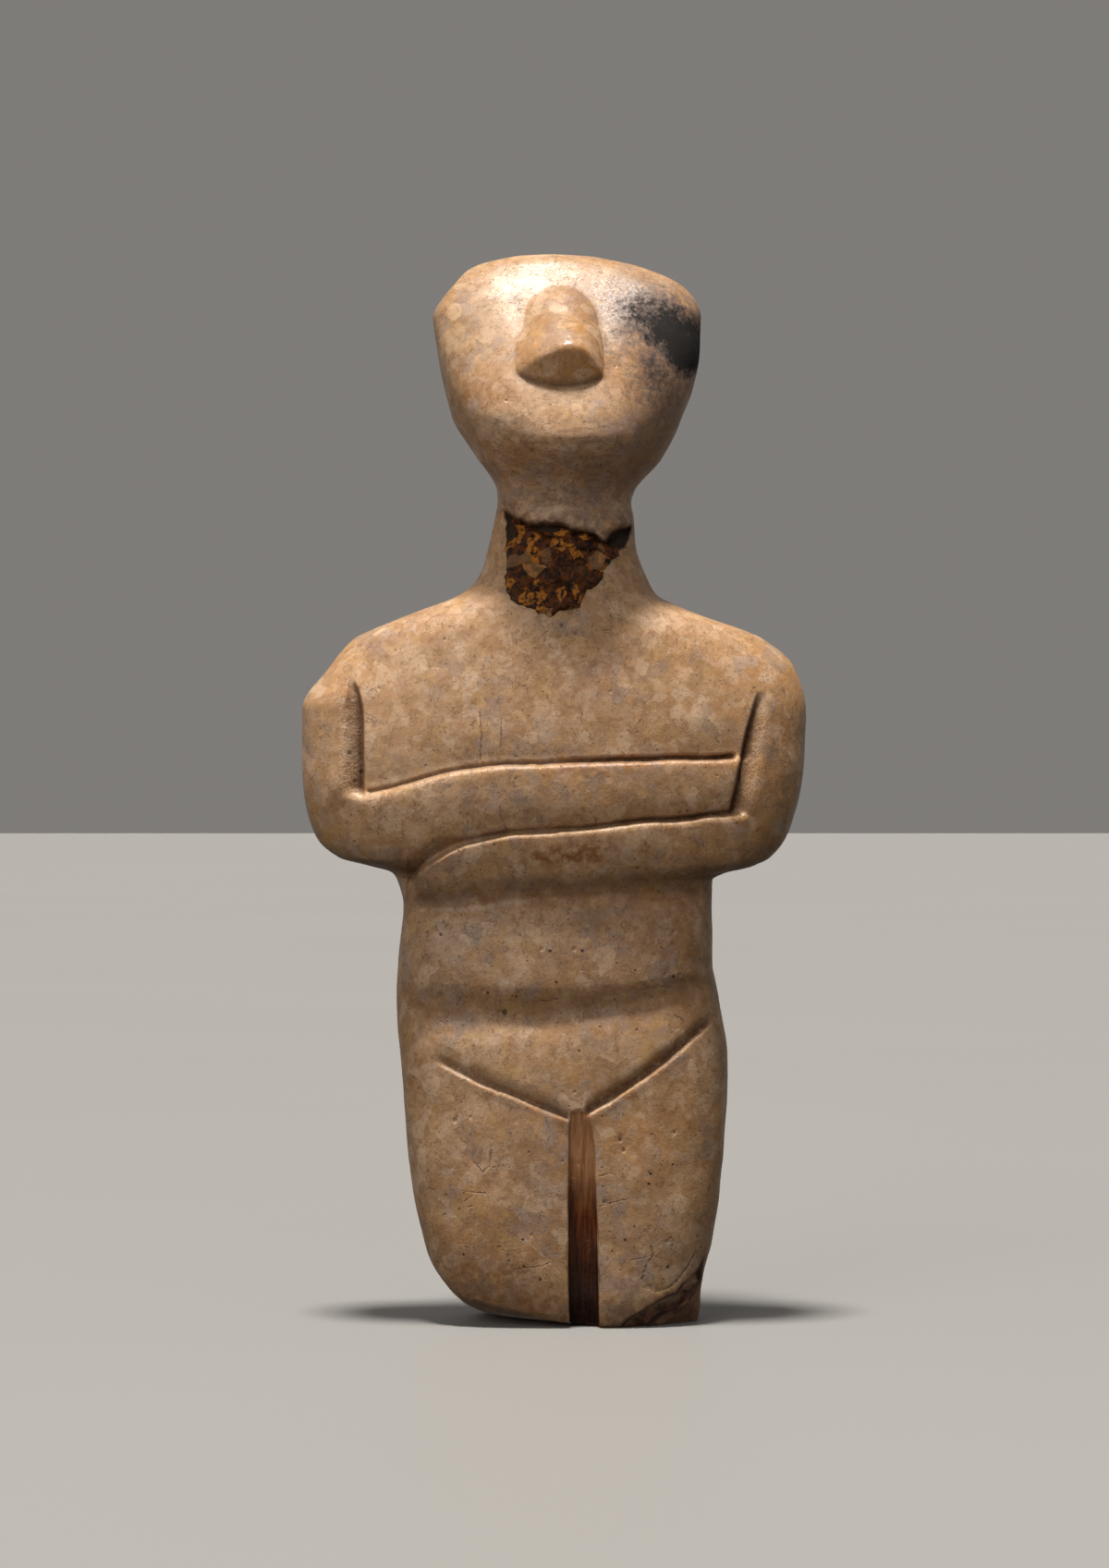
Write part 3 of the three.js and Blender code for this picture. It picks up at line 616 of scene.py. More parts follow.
for plane in PLANES:
    d, m = beyond(GX, GY, GZ, plane)
    soft = plane[5]
    if soft:
        d = d - 0.7 + 0.15 * noise(GX, GY, GZ, 3.4, 61, 2)
        push = soft * np.logaddexp(d / soft, 0.0)
        push = np.where(d > -4 * soft, push, 0)
    else:
        # a conchoidal break: it drops away under the sound edge, then steps out again
        t = 0.75 * (corner_edge(GX) - GZ)
        shape = 0.75 * smooth(0.0, 0.35, d) - 1.5 * smooth(1.9, 2.5, t + 0.3 * noise(GX, GY, GZ, 2.5, 64, 1))
        shape = shape + 0.16 * noise(GX, GY, GZ, 3.6, 61, 2) + 0.05 * noise(GX, GY, GZ, 0.8, 62, 2)
        push = np.where(d > 0, np.maximum(d + shape * smooth(0, 0.4, d), 0), 0)
    GX, GY, GZ = GX - m[0] * push, GY - m[1] * push, GZ - m[2] * push
# the underside is a crystalline break that touches the ground here and there
under_face = GZ < 0.05
GZ = np.where(under_face, 0.25 * np.maximum(0, noise(GX, GY, GZ, 2.6, 63, 3) - 0.15), GZ)
GZ = np.maximum(GZ, 0)

verts = np.stack([GX, GY, GZ], -1).reshape(-1, 3)
i = np.arange(rows - 1)[:, None] * N
j = np.arange(N)[None, :]
quads = np.stack([i + j, i + (j + 1) % N, i + N + (j + 1) % N, i + N + j], -1).reshape(-1, 4)
lo_c, hi_c = len(verts), len(verts) + 1
verts = np.concatenate([verts, [[ringX[0].mean(), ringY[0].mean(), 0.0]], [[ringX[-1].mean(), ringY[-1].mean(), Zl[-1] + 0.0]]])
j = np.arange(N)
tri_lo = np.stack([(j + 1) % N, j, np.full(N, lo_c)], -1)
base = (rows - 1) * N
tri_hi = np.stack([base + j, base + (j + 1) % N, np.full(N, hi_c)], -1)

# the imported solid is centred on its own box: the fine mesh is moved by the same amount
cad_lo, cad_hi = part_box("figurine")
cad_mid = np.array([(cad_lo[0] + cad_hi[0]) / 2, (cad_lo[1] + cad_hi[1]) / 2]) * 1000
SHIFT = np.array([cad_mid[0] + 0.1019, cad_mid[1] + 0.9731, 0.0])


def make_mesh(name, verts_mm, faces4, faces3):
    me = bpy.data.meshes.new(name)
    n4, n3 = len(faces4), len(faces3)
    me.vertices.add(len(verts_mm))
    me.vertices.foreach_set("co", ((verts_mm + SHIFT) / 1000).astype(np.float32).ravel())
    me.loops.add(n4 * 4 + n3 * 3)
    me.loops.foreach_set("vertex_index", np.concatenate([faces4.ravel(), faces3.ravel()]).astype(np.int32))
    me.polygons.add(n4 + n3)
    starts = np.concatenate([np.arange(n4) * 4, n4 * 4 + np.arange(n3) * 3]).astype(np.int32)
    me.polygons.foreach_set("loop_start", starts)
    me.update(calc_edges=True)
    me.validate()
    return me


def coarsen(me, name, target):
    """The mesh with about that many triangles, fewest where the surface is flat."""
    o = bpy.data.objects.new(name + "_dense", me)
    bpy.context.scene.collection.objects.link(o)
    tris = sum(len(p.vertices) - 2 for p in me.polygons) if len(me.polygons) < 1000 else None
    count = (len(me.loops) - 2 * len(me.polygons)) if tris is None else tris
    if count > target:
        mod = o.modifiers.new("coarsen", "DECIMATE")
        mod.ratio = target / count
        mod.use_collapse_triangulate = True
    dg = bpy.context.evaluated_depsgraph_get()
    out = bpy.data.meshes.new_from_object(o.evaluated_get(dg))
    out.name = name
    bpy.data.objects.remove(o)
    bpy.data.meshes.remove(me)
    return out


dense = make_mesh("figurine_fine", verts, quads, np.concatenate([tri_lo, tri_hi]))
fine = coarsen(dense, "figurine_marble", 192000)
fine.polygons.foreach_set("use_smooth", np.ones(len(fine.polygons), bool))
co = np.empty(len(fine.vertices) * 3, np.float32)
fine.vertices.foreach_get("co", co)
co[2::3] = np.maximum(co[2::3], 0)
fine.vertices.foreach_set("co", co)
fine.update()
figurine = bpy.data.objects.new("figurine_marble", fine)
bpy.context.scene.collection.objects.link(figurine)


# ---------------------------------------------------------- the crust left in the spall


def cells(x, z, size, seed):
    """Distance to the nearest of scattered points, as a share of their spacing."""
    px, pz = x / size, z / size
    ix, iz = np.floor(px), np.floor(pz)
    best = np.full(np.shape(x), 9.0)
    zero = np.zeros(np.shape(x), np.int64)
    for dx in (-1, 0, 1):
        for dz in (-1, 0, 1):
            cx_, cz_ = (ix + dx).astype(np.int64), (iz + dz).astype(np.int64)
            jx = 0.5 + 0.45 * _hash(cx_, zero, cz_, seed)
            jz = 0.5 + 0.45 * _hash(cx_, zero + 7, cz_, seed)
            best = np.minimum(best, np.hypot(ix + dx + jx - px, iz + dz + jz - pz))
    return best


def neck_surface(px, pz):
    """The smooth front of the neck as it was before it spalled: depth, and its slope."""
    def depth(qx):
        l, r, f, b, e, nf_, nb_ = section(pz)
        uu = np.clip(np.abs(qx - (l + r) / 2) / ((r - l) / 2), 0, 1)
        return e - (e - f) * np.maximum(0, 1 - uu**nf_) ** (1 / nf_)

    here = depth(px)
    return here, (depth(px + 0.1) - depth(px - 0.1)) / 0.2


def outline_radius(points, centre, angles):
    out = np.zeros(len(angles))
    for k, a in enumerate(angles):
        dx, dz = np.cos(a), np.sin(a)
        for (ax, az), (bx, bz) in zip(points, points[1:] + [points[0]]):
            ex, ez = bx - ax, bz - az
            den = dx * ez - dz * ex
            if abs(den) < 1e-9:
                continue
            t = ((ax - centre[0]) * ez - (az - centre[1]) * ex) / den
            q = ((ax - centre[0]) * dz - (az - centre[1]) * dx) / den
            if t > 0 and -1e-9 <= q <= 1 + 1e-9:
                out[k] = max(out[k], t)
    return out


def make_crust(around, rings):
    centre = (1.0, 105.0)
    angles = 2 * np.pi * np.arange(around) / around
    reach = outline_radius(CRUST, centre, angles)
    reach = (np.roll(reach, 1) + 2 * reach + np.roll(reach, -1)) / 4
    share = (np.arange(1, rings + 1) / rings)[:, None] ** 0.9
    cx_, sz_ = np.cos(angles)[None, :], np.sin(angles)[None, :]
    px, pz = centre[0] + share * reach * cx_, centre[1] + share * reach * sz_
    ragged = 0.55 * noise(px, px * 0, pz, 1.7, 91, 3) * share
    px, pz = px + ragged * cx_, pz + ragged * sz_
    depth, q = neck_surface(px, pz)
    inward = (1 - share) * reach
    lumps = 0.34 * (0.6 - cells(px + 0.3 * noise(px, px * 0, pz, 1.1, 92, 2), pz, 1.9, 93))
    lumps = lumps + 0.26 * (0.55 - cells(px, pz, 0.95, 94)) + 0.10 * (0.5 - cells(px, pz, 0.45, 95))
    lumps = lumps + 0.30 * noise(px, px * 0, pz, 2.6, 96, 3)
    # it lies over the sound stone at its sides and lower end, and is low along the break above
    under_lip = smooth(106.5, 109.5, pz + 0.25 * px * (px > 0) - 0.1 * np.abs(px))
    edge_height = -0.16 - 0.78 * under_lip
    high = edge_height + (0.24 - edge_height) * smooth(0.0, 1.1 + 0.9 * under_lip, inward)
    high = high + 1.15 * lumps * smooth(0.0, 0.7, inward) - 0.45 * under_lip
    high = np.maximum(high, -1.25) + unevenness(px, depth, pz)
    long = np.sqrt(1 + q * q)
    outer = np.stack([px + q / long * high, depth - high / long, pz], -1)
    inner_share = (0.97, 0.6, 0.25)
    inner = []
    for k in inner_share:
        ix, iz = centre[0] + k * (px[-1] - centre[0]), centre[1] + k * (pz[-1] - centre[1])
        d_, q_ = neck_surface(ix, iz)
        inner.append(np.stack([ix, d_ + 1.9, iz], -1))
    body = np.concatenate([outer, np.stack(inner)])
    count = len(body)
    v = body.reshape(-1, 3)
    d0, _ = neck_surface(np.array([centre[0]]), np.array([centre[1]]))
    v = np.concatenate([v, [[centre[0], d0[0], centre[1]]], [[centre[0], d0[0] + 1.9, centre[1]]]])
    a = np.arange(count - 1)[:, None] * around
    b = np.arange(around)[None, :]
    faces = np.stack([a + b, a + around + b, a + around + (b + 1) % around, a + (b + 1) % around], -1)
    b = np.arange(around)
    front_fan = np.stack([b, (b + 1) % around, np.full(around, len(v) - 2)], -1)
    last = (count - 1) * around
    back_fan = np.stack([last + (b + 1) % around, last + b, np.full(around, len(v) - 1)], -1)
    return make_mesh("neck_crust", v, faces.reshape(-1, 4), np.concatenate([front_fan, back_fan]))


crust_me = make_crust(*(((360, 64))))
bm = bmesh.new()
bm.from_mesh(crust_me)
bmesh.ops.recalc_face_normals(bm, faces=bm.faces)
bm.to_mesh(crust_me)
bm.free()
crust_me.polygons.foreach_set("use_smooth", np.ones(len(crust_me.polygons), bool))
neck_crust = bpy.data.objects.new("neck_crust", crust_me)
bpy.context.scene.collection.objects.link(neck_crust)


# --------------------------------------------------------------------------------- masks


def positions(me):
    co = np.empty(len(me.vertices) * 3, np.float32)
    me.vertices.foreach_get("co", co)
    return co.reshape(-1, 3).astype(float) * 1000 - SHIFT


def store(me, name, values):
    a = me.attributes.new(name, "FLOAT", "POINT")
    a.data.foreach_set("value", np.clip(values, 0, 1).astype(np.float32))


P = positions(fine)
x, y, z = P.T
s = section(z)
facing = y < s[4] + 0.2                                # in front of the side edges
_, dirt_and_shade, slot = carving(x, z)
_, cleft = back_relief(x, z)
fu = fade(np.clip(np.abs(x - (s[0] + s[1]) / 2) / np.maximum((s[1] - s[0]) / 2, 1e-6), 0, 1))
# on the back the cleft is darkened the same way, as painted shade in the crease
dirt_and_shade = np.where(facing, dirt_and_shade * fu, cleft * 0.7 * fu)
slot = np.where(facing, slot, 0)
side = np.clip(np.abs(x - (s[0] + s[1]) / 2) / np.maximum((s[1] - s[0]) / 2, 1e-6), 0, 1)


def patch(cx, cz, rx, rz):
    return bell(np.hypot((x - cx) / rx, (z - cz) / rz), 1.0)


# brown staining with painted shade in the recess under the forearms and in the crease under the belly roll, where
# shade falls
in_trunk = facing & (z > 36) & (z < 66) & (np.abs(x - 0.5) < 24)
hollow_stain_and_shade = np.where(
    in_trunk,
    0.95 * np.exp(-np.abs((z - (under(x) + 1.7)) / 2.1) ** 3) * (0.55 + 0.45 * smooth(-14, 4, x))
    + 0.55 * patch(9, 57.0, 12, 2.6)
    + 0.75 * np.exp(-np.abs((z - (roll(x) - 3.2)) / 2.0) ** 3) * (0.6 + 0.4 * smooth(-8, 8, x)),
    0,
)
band = (z > 95) & (z < 117) & facing
# painted shade: where the spalled stone shows under the lip it is coloured near black
spalled = np.zeros(len(x))
_, spalled[band] = throat(x[band], z[band])
rim_halo = np.where(facing, bell(z - rim(x) - 0.1, 1.2) * smooth(-9.6, -7.8, x) * (1 - smooth(11.2, 12.8, x)), 0)
rim_halo = rim_halo + np.where(facing, 0.35 * bell(inside(x, z, SPALL), 0.9), 0)
burn = np.maximum.reduce([
    1.60 * patch(18.3, 136.2, 3.4, 4.2), 1.05 * patch(15.4, 138.6, 4.6, 5.0),
    0.78 * patch(12.6, 140.4, 5.2, 4.6), 0.60 * patch(13.6, 132.4, 3.8, 5.8),
    0.42 * patch(9.5, 137.5, 4.5, 7.0),
])
burn = burn * np.where(y > 7.5, np.exp(-(((y - 7.5) / 2.2) ** 2)), 1) * smooth(3, 6, x)
honey = np.where(
    facing,
    np.clip(nose_rise(x, z) / 1.0, 0, 1) + 0.65 * patch(1.5, 138.5, 8.5, 8.0) + 0.45 * patch(10, 134, 6, 7)
    + 0.6 * patch(-31, 69, 6, 6) + 0.75 * patch(31.5, 76, 4.5, 13) + 0.45 * patch(24, 93, 8, 4)
    + 0.5 * patch(-6, 120, 8, 4) + 0.5 * patch(15, 25, 7, 7) + 0.5 * patch(-10, 12, 7, 8)
    + 0.3 * patch(-24, 88, 7, 8) + 0.35 * patch(12, 47, 9, 5),
    0.55 * smooth(0.2, 0.9, noise(x, y, z, 16, 81, 2)),
)
honey = honey + 0.35 * smooth(0.8, 1.0, side)
# a cream tone; on the front it is mostly painted highlight on the lit faces: the left of the forehead and head, the
# left shoulder, under the nose, the upper forearm and the belly roll. On the back it is a random lighter tone.
pale_and_highlight = np.where(
    facing,
    0.5 * patch(-9.5, 139, 7.5, 8.0) + 0.7 * patch(4, 128.2, 7, 1.8) + 0.4 * patch(-20, 92, 8, 5)
    + 0.35 * patch(-8, 72.5, 9, 3) + 0.3 * patch(0, 54, 9, 4) + 0.35 * patch(-20, 128, 4, 14),
    0.5 * smooth(0.3, 1.0, noise(x, y, z, 13, 82, 2)),
)
grey = np.where(
    facing,
    0.9 * patch(2, 114.5, 10, 4.0) + 0.5 * patch(10, 121, 7, 5) + 0.35 * patch(-15, 50, 10, 7)
    + 0.4 * patch(-2, 22, 8, 9) + 0.3 * patch(8, 52, 9, 5) + 0.4 * patch(9, 12, 6, 8),
    0.4 * smooth(0.2, 1.0, noise(x, y, z, 14, 83, 2)),
)
# orange-brown staining; the patches on the chest under the head and on the right of the belly are partly painted
# shade of the head and the forearms
stain_and_shade = np.where(
    facing,
    2.2 * patch(3.9, 65.5, 2.8, 1.2) + 1.4 * patch(-0.4, 65.2, 3.8, 1.0) + 0.6 * patch(11.8, 42.6, 1.6, 1.8)
    + 0.45 * patch(2, 90, 11, 6) + 0.7 * patch(11, 7.4, 1.6, 1.2) + 0.55 * patch(5, 77, 6, 1.0)
    + 0.5 * patch(-10.5, 128.5, 6, 1.8) + 0.5 * patch(-9, 7, 8, 3) + 0.5 * patch(-4, 3, 6, 2)
    + 0.4 * patch(16, 78.6, 7, 0.9) + 0.4 * patch(16, 54, 6, 5),
    0.35 * smooth(0.45, 1.1, noise(x, y, z, 12, 84, 2)),
)
# darker towards the bottom
bottom_dark = np.clip(0.9 * smooth(7.5, 1.0, z + 0.8 * noise(x, y, z, 5, 85, 2)), 0, 1)
over = [beyond(x, y, z, plane)[0] for plane in PLANES[:2]]
wob = 0.25 * noise(x, y, z, 2.5, 65, 2)
corner = np.maximum(smooth(-0.45, -0.1, over[0] + 0.1 * wob), smooth(-0.45, -0.1, over[1] + 0.1 * wob))
corner = corner * smooth(-0.3, 0.25, corner_edge(x) - z + wob) * (x > 8)
step_out = corner * smooth(1.9, 2.6, 0.75 * (corner_edge(x) - z))
# the broken faces and the underside are coloured dark red-brown, partly as painted shade
fracture_and_shade_mask = np.maximum(corner, smooth(0.5, 0.2, z))

calm = np.where(facing, np.clip(1.4 * patch(1, 137, 15, 13), 0, 1), 0)

ta = left_arm(z) - x
tb = x - right_arm(z)
# the granular floors of the arm troughs and the worn lips of the cuts; on the lips the colour gets whitish specks as
# painted highlight
grain = np.where(
    facing,
    smooth(0.1, 0.6, ta) * smooth(3.9, 2.6, ta) * smooth(73.4, 75.0, z) * smooth(89.0, 86.0, z)
    + 0.8 * smooth(0.1, 0.5, tb) * smooth(3.4, 2.2, tb) * smooth(71.6, 73.0, z) * smooth(87.0, 83.0, z)
    + 0.7 * bell(z - right_groin(x) + 0.8, 0.8) * smooth(5, 8, x) * smooth(20, 17, x)
    + 0.5 * bell(z - left_groin(x) + 0.7, 0.6) * smooth(-15, -12, x) * smooth(-1, -4, x)
    + 0.4 * bell(z - over_forearm(x) + 0.6, 0.4) * smooth(-23, -20, x) * smooth(23, 20, x)
    + 0.4 * bell(z - between(x) + 0.6, 0.4) * smooth(-14, -11, x) * smooth(22, 19, x)
    + 0.5 * bell(z - roll(x) - 1.2, 0.8) * smooth(-2, 6, x) * smooth(18, 14, x),
    0,
)
strata = np.where(
    facing,
    np.clip(1.2 * patch(2, 116.5, 11, 5.5) + 0.9 * patch(-1, 123.5, 12, 4.5) + 0.8 * patch(-9, 7.5, 8, 4.5), 0, 1),
    0.4 * patch(2, 120, 12, 8),
)
base_line = 129.5 + 1.3 * ((x - 1.2) / 5.6) ** 2
# painted shade: a dark band along the foot of the nose, where the nose's shadow falls; it joins the darkening of the
# cuts
under_nose_shade = np.where(facing, bell(z - base_line - 0.25, 0.6) * smooth(7.0, 5.2, np.abs(x - 1.0)), 0)
dirt_and_shade = np.maximum(dirt_and_shade, 0.75 * under_nose_shade)
store(fine, "grain", grain)
# the slopes of the troughs beside the arms join it, as painted shade at the chest's wall
slopes = (
    0.85 * smooth(-0.1, 0.3, ta) * smooth(3.4, 0.9, ta) * smooth(73.0, 74.8, z) * smooth(89.6, 86.5, z)
    + 0.70 * smooth(-0.1, 0.3, tb) * smooth(2.8, 0.7, tb) * smooth(71.0, 72.4, z) * smooth(87.6, 84.0, z)
)
hollow_stain_and_shade = np.maximum(hollow_stain_and_shade, np.where(facing, slopes, 0))
store(fine, "strata", strata)
store(fine, "front", np.where(facing, 1.0, 0.0))
# painted shade: how far down the slot's floor is darkened
low = smooth(29.5, 2.0, z)
soot = np.where(facing, 0.8 * patch(14.8, 126.5, 4.2, 7.0) + 0.95 * patch(9.5, 142.6, 7, 4.2), 0)

store(fine, "low", low)
store(fine, "soot", soot)
store(fine, "calm", calm)
store(fine, "grey", grey)
store(fine, "bottom_dark", bottom_dark)
store(fine, "stepout", step_out)
store(fine, "dirt_and_shade", dirt_and_shade)
store(fine, "slot", slot)
store(fine, "hollow_stain_and_shade", hollow_stain_and_shade)
store(fine, "spall", np.maximum(spalled, 0))
store(fine, "rim", rim_halo)
store(fine, "burn", burn)
store(fine, "honey", honey)
store(fine, "pale_and_highlight", pale_and_highlight)
store(fine, "stain_and_shade", stain_and_shade)
store(fine, "fracture", fracture_and_shade_mask)

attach(figurine, "root")
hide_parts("figurine")
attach(neck_crust, "root")


# ----------------------------------------------------------------------------- materials


class Graph:
    """A short way to write a node tree."""

    def __init__(self, name):
        self.mat = bpy.data.materials.new(name)
        self.mat.use_nodes = True
        self.t = self.mat.node_tree
        self.t.nodes.clear()
        self.out = self.t.nodes.new("ShaderNodeOutputMaterial")
        self.bsdf = self.t.nodes.new("ShaderNodeBsdfPrincipled")
        self.t.links.new(self.bsdf.outputs[0], self.out.inputs[0])
        coord = self.t.nodes.new("ShaderNodeTexCoord")
        scale = self.t.nodes.new("ShaderNodeVectorMath")
        scale.operation = "SCALE"
        scale.inputs["Scale"].default_value = 1000.0
        self.t.links.new(coord.outputs["Object"], scale.inputs[0])
        self.p = scale.outputs[0]                      # the point in millimetres

    def link(self, value, socket):
        if hasattr(value, "is_output"):
            self.t.links.new(value, socket)
        else:
            socket.default_value = value

    def new(self, kind, **props):
        node = self.t.nodes.new(kind)
        for k, v in props.items():
            setattr(node, k, v)
        return node

    def noise(self, scale, detail=2.0, rough=0.5, distort=0.0, vector=None, stretch=None, out="Fac"):
        n = self.new("ShaderNodeTexNoise", noise_dimensions="3D")
        v = vector or self.p
        if stretch:
            v = self.vmul(v, stretch)
        self.link(v, n.inputs["Vector"])
        n.inputs["Scale"].default_value = scale
        n.inputs["Detail"].default_value = detail
        n.inputs["Roughness"].default_value = rough
        n.inputs["Distortion"].default_value = distort
        return n.outputs[out]

    def voronoi(self, scale, feature="F1", vector=None, random=1.0, out="Distance"):
        n = self.new("ShaderNodeTexVoronoi", feature=feature)
        self.link(vector or self.p, n.inputs["Vector"])
        n.inputs["Scale"].default_value = scale
        n.inputs["Randomness"].default_value = random
        return n.outputs[out]

    def vmul(self, v, k):
        n = self.new("ShaderNodeVectorMath", operation="MULTIPLY")
        self.link(v, n.inputs[0])
        n.inputs[1].default_value = k
        return n.outputs[0]

    def warp(self, amount, scale, vector=None):
        """The point pushed about by noise, in mm."""
        c = self.noise(scale, 2.0, vector=vector, out="Color")
        n = self.new("ShaderNodeVectorMath", operation="MULTIPLY_ADD")
        self.link(c, n.inputs[0])
        n.inputs[1].default_value = (amount,) * 3
        self.link(vector or self.p, n.inputs[2])
        return n.outputs[0]

    def math(self, op, a, b=0.0, c=None, clamp=False):
        n = self.new("ShaderNodeMath", operation=op, use_clamp=clamp)
        self.link(a, n.inputs[0])
        self.link(b, n.inputs[1])
        if c is not None:
            self.link(c, n.inputs[2])
        return n.outputs[0]

    def remap(self, v, a, b, c=0.0, d=1.0, smooth_step=True):
        n = self.new("ShaderNodeMapRange", interpolation_type="SMOOTHSTEP" if smooth_step else "LINEAR")
        self.link(v, n.inputs["Value"])
        for key, val in (("From Min", a), ("From Max", b), ("To Min", c), ("To Max", d)):
            n.inputs[key].default_value = val
        return n.outputs[0]

    def attr(self, name):
        return self.new("ShaderNodeAttribute", attribute_name=name).outputs["Fac"]

    def mix(self, fac, a, b, mode="MIX"):
        n = self.new("ShaderNodeMix", data_type="RGBA", blend_type=mode)
        self.link(fac, n.inputs[0])
        self.link(a if hasattr(a, "is_output") else (*a, 1.0), n.inputs[6])
        self.link(b if hasattr(b, "is_output") else (*b, 1.0), n.inputs[7])
        return n.outputs[2]

    def segment(self, a, b, vector):
        """Distance in the front plane from a stroke between two (x, z) points, in mm."""
        rel = self.new("ShaderNodeVectorMath", operation="SUBTRACT")
        self.link(vector, rel.inputs[0])
        rel.inputs[1].default_value = (a[0], 0.0, a[1])
        ab = (b[0] - a[0], 0.0, b[1] - a[1])
        dot = self.new("ShaderNodeVectorMath", operation="DOT_PRODUCT")
        self.link(rel.outputs[0], dot.inputs[0])
        dot.inputs[1].default_value = tuple(v / (ab[0] ** 2 + ab[2] ** 2) for v in ab)
        t = self.math("MINIMUM", self.math("MAXIMUM", dot.outputs["Value"], 0.0), 1.0)
        foot = self.new("ShaderNodeVectorMath", operation="SCALE")
        foot.inputs[0].default_value = ab
        self.link(t, foot.inputs["Scale"])
        gap = self.new("ShaderNodeVectorMath", operation="DISTANCE")
        self.link(rel.outputs[0], gap.inputs[0])
        self.link(foot.outputs[0], gap.inputs[1])
        return gap.outputs["Value"]

    def strokes(self, rows, vector):
        """Distance to the nearest of several strokes, each less its own half width."""
        nearest = None
        for width, points in rows:
            for a, b in zip(points, points[1:]):
                d = self.math("SUBTRACT", self.segment(a, b, vector), width)
                nearest = d if nearest is None else self.math("MINIMUM", nearest, d)
        return nearest

    def dots(self, rows, vector):
        nearest = None
        for x_, z_, radius in rows:
            gap = self.new("ShaderNodeVectorMath", operation="DISTANCE")
            self.link(vector, gap.inputs[0])
            gap.inputs[1].default_value = (x_, 0.0, z_)
            d = self.math("SUBTRACT", gap.outputs["Value"], radius)
            nearest = d if nearest is None else self.math("MINIMUM", nearest, d)
        return nearest

    def bump(self, height, strength, distance, normal=None):
        n = self.new("ShaderNodeBump")
        n.inputs["Strength"].default_value = strength
        n.inputs["Distance"].default_value = distance
        self.link(height, n.inputs["Height"])
        if normal:
            self.link(normal, n.inputs["Normal"])
        return n.outputs[0]


# strokes in the front plane: half width, then (x, z) points
CRACKS = (
    (0.10, ((13.6, 11.5), (13.9, 10.2), (13.0, 9.1), (12.3, 7.0))),
    (0.05, ((10.8, 9.6), (12.4, 9.9), (13.8, 10.3), (14.9, 9.8))),
    (0.06, ((12.5, 5.9), (14.3, 5.1), (15.8, 5.6), (17.4, 6.8), (18.7, 8.6), (19.8, 10.5))),
    (0.04, ((-10.0, 85.0), (-9.7, 82.0), (-9.9, 78.6))),
    (0.03, ((-7.0, 84.6), (-7.1, 80.2))),
    (0.08, ((-7.2, 71.0), (-6.6, 69.7), (-6.3, 68.9))),
    (0.05, ((-11.7, 71.0), (-11.6, 69.7))),
    (0.05, ((-5.2, 8.4), (-3.6, 8.6), (-1.4, 8.9), (-0.4, 9.3))),
    (0.06, ((-12.3, 19.1), (-9.3, 18.8))),
    (0.07, ((-12.1, 17.7), (-11.3, 18.3))),
    (0.06, ((-11.6, 16.9), (-11.1, 17.1))),
    (0.05, ((-12.1, 11.4), (-11.6, 11.2))),
    (0.06, ((16.9, 43.2), (17.6, 42.9), (18.2, 42.2))),
    (0.05, ((6.5, 21.2), (7.7, 21.6), (8.6, 21.4))),
    (0.04, ((6.4, 17.0), (8.4, 17.6), (10.4, 18.1))),
    (0.05, ((-11.0, 23.4), (-9.6, 21.7), (-8.7, 22.6), (-8.4, 25.4))),
    (0.06, ((-13.2, 44.6), (-12.4, 46.0), (-11.6, 45.6))),
    (0.07, ((-2.0, 45.4), (-0.8, 45.2), (0.9, 45.6))),
    (0.06, ((13.2, 21.9), (13.9, 20.8))),
)
SCRATCHES = (
    (0.06, ((-4.9, 13.4), (-3.4, 12.2), (-1.5, 10.4))),
    (0.05, ((-2.0, 11.2), (-0.4, 9.2), (1.0, 7.9))),
    (0.06, ((2.5, 20.9), (3.1, 20.9))),
    (0.05, ((4.3, 22.6), (4.3, 21.9))),
    (0.10, ((-1.9, 7.0), (0.1, 6.8))),
    (0.06, ((7.2, 9.0), (8.9, 10.6))),
    (0.10, ((7.0, 3.2), (7.9, 1.9))),
    (0.05, ((11.5, 46.6), (16.0, 47.1))),
)
SPECKS = (
    (4.1, 52.2, 0.19), (-0.3, 52.2, 0.20), (-3.5, 50.8, 0.11), (16.7, 48.6, 0.17), (-8.9, 46.4, 0.15),
    (-5.0, 45.9, 0.15), (-6.6, 43.7, 0.36), (3.7, 38.4, 0.14), (16.6, 22.7, 0.18), (13.3, 20.1, 0.2),
    (10.0, 12.4, 0.20), (15.9, 8.6, 0.18), (-4.1, 12.5, 0.17), (-6.0, 9.6, 0.14), (-3.9, 8.8, 0.19),
    (-12.3, 10.3, 0.17), (-8.1, 22.5, 0.12), (-1.7, 7.0, 0.22), (13.5, 21.5, 0.17), (-15.4, 54.4, 0.2),
    (0.5, 47.9, 0.16), (11.4, 49.5, 0.14), (8.6, 45.5, 0.12), (-27.2, 75.6, 0.3), (-26.5, 79.3, 0.22),
    (-12.9, 66.0, 0.13), (7.9, 17.5, 0.13), (8.2, 10.9, 0.12), (7.8, 13.6, 0.12), (-12.9, 16.6, 0.12),
)


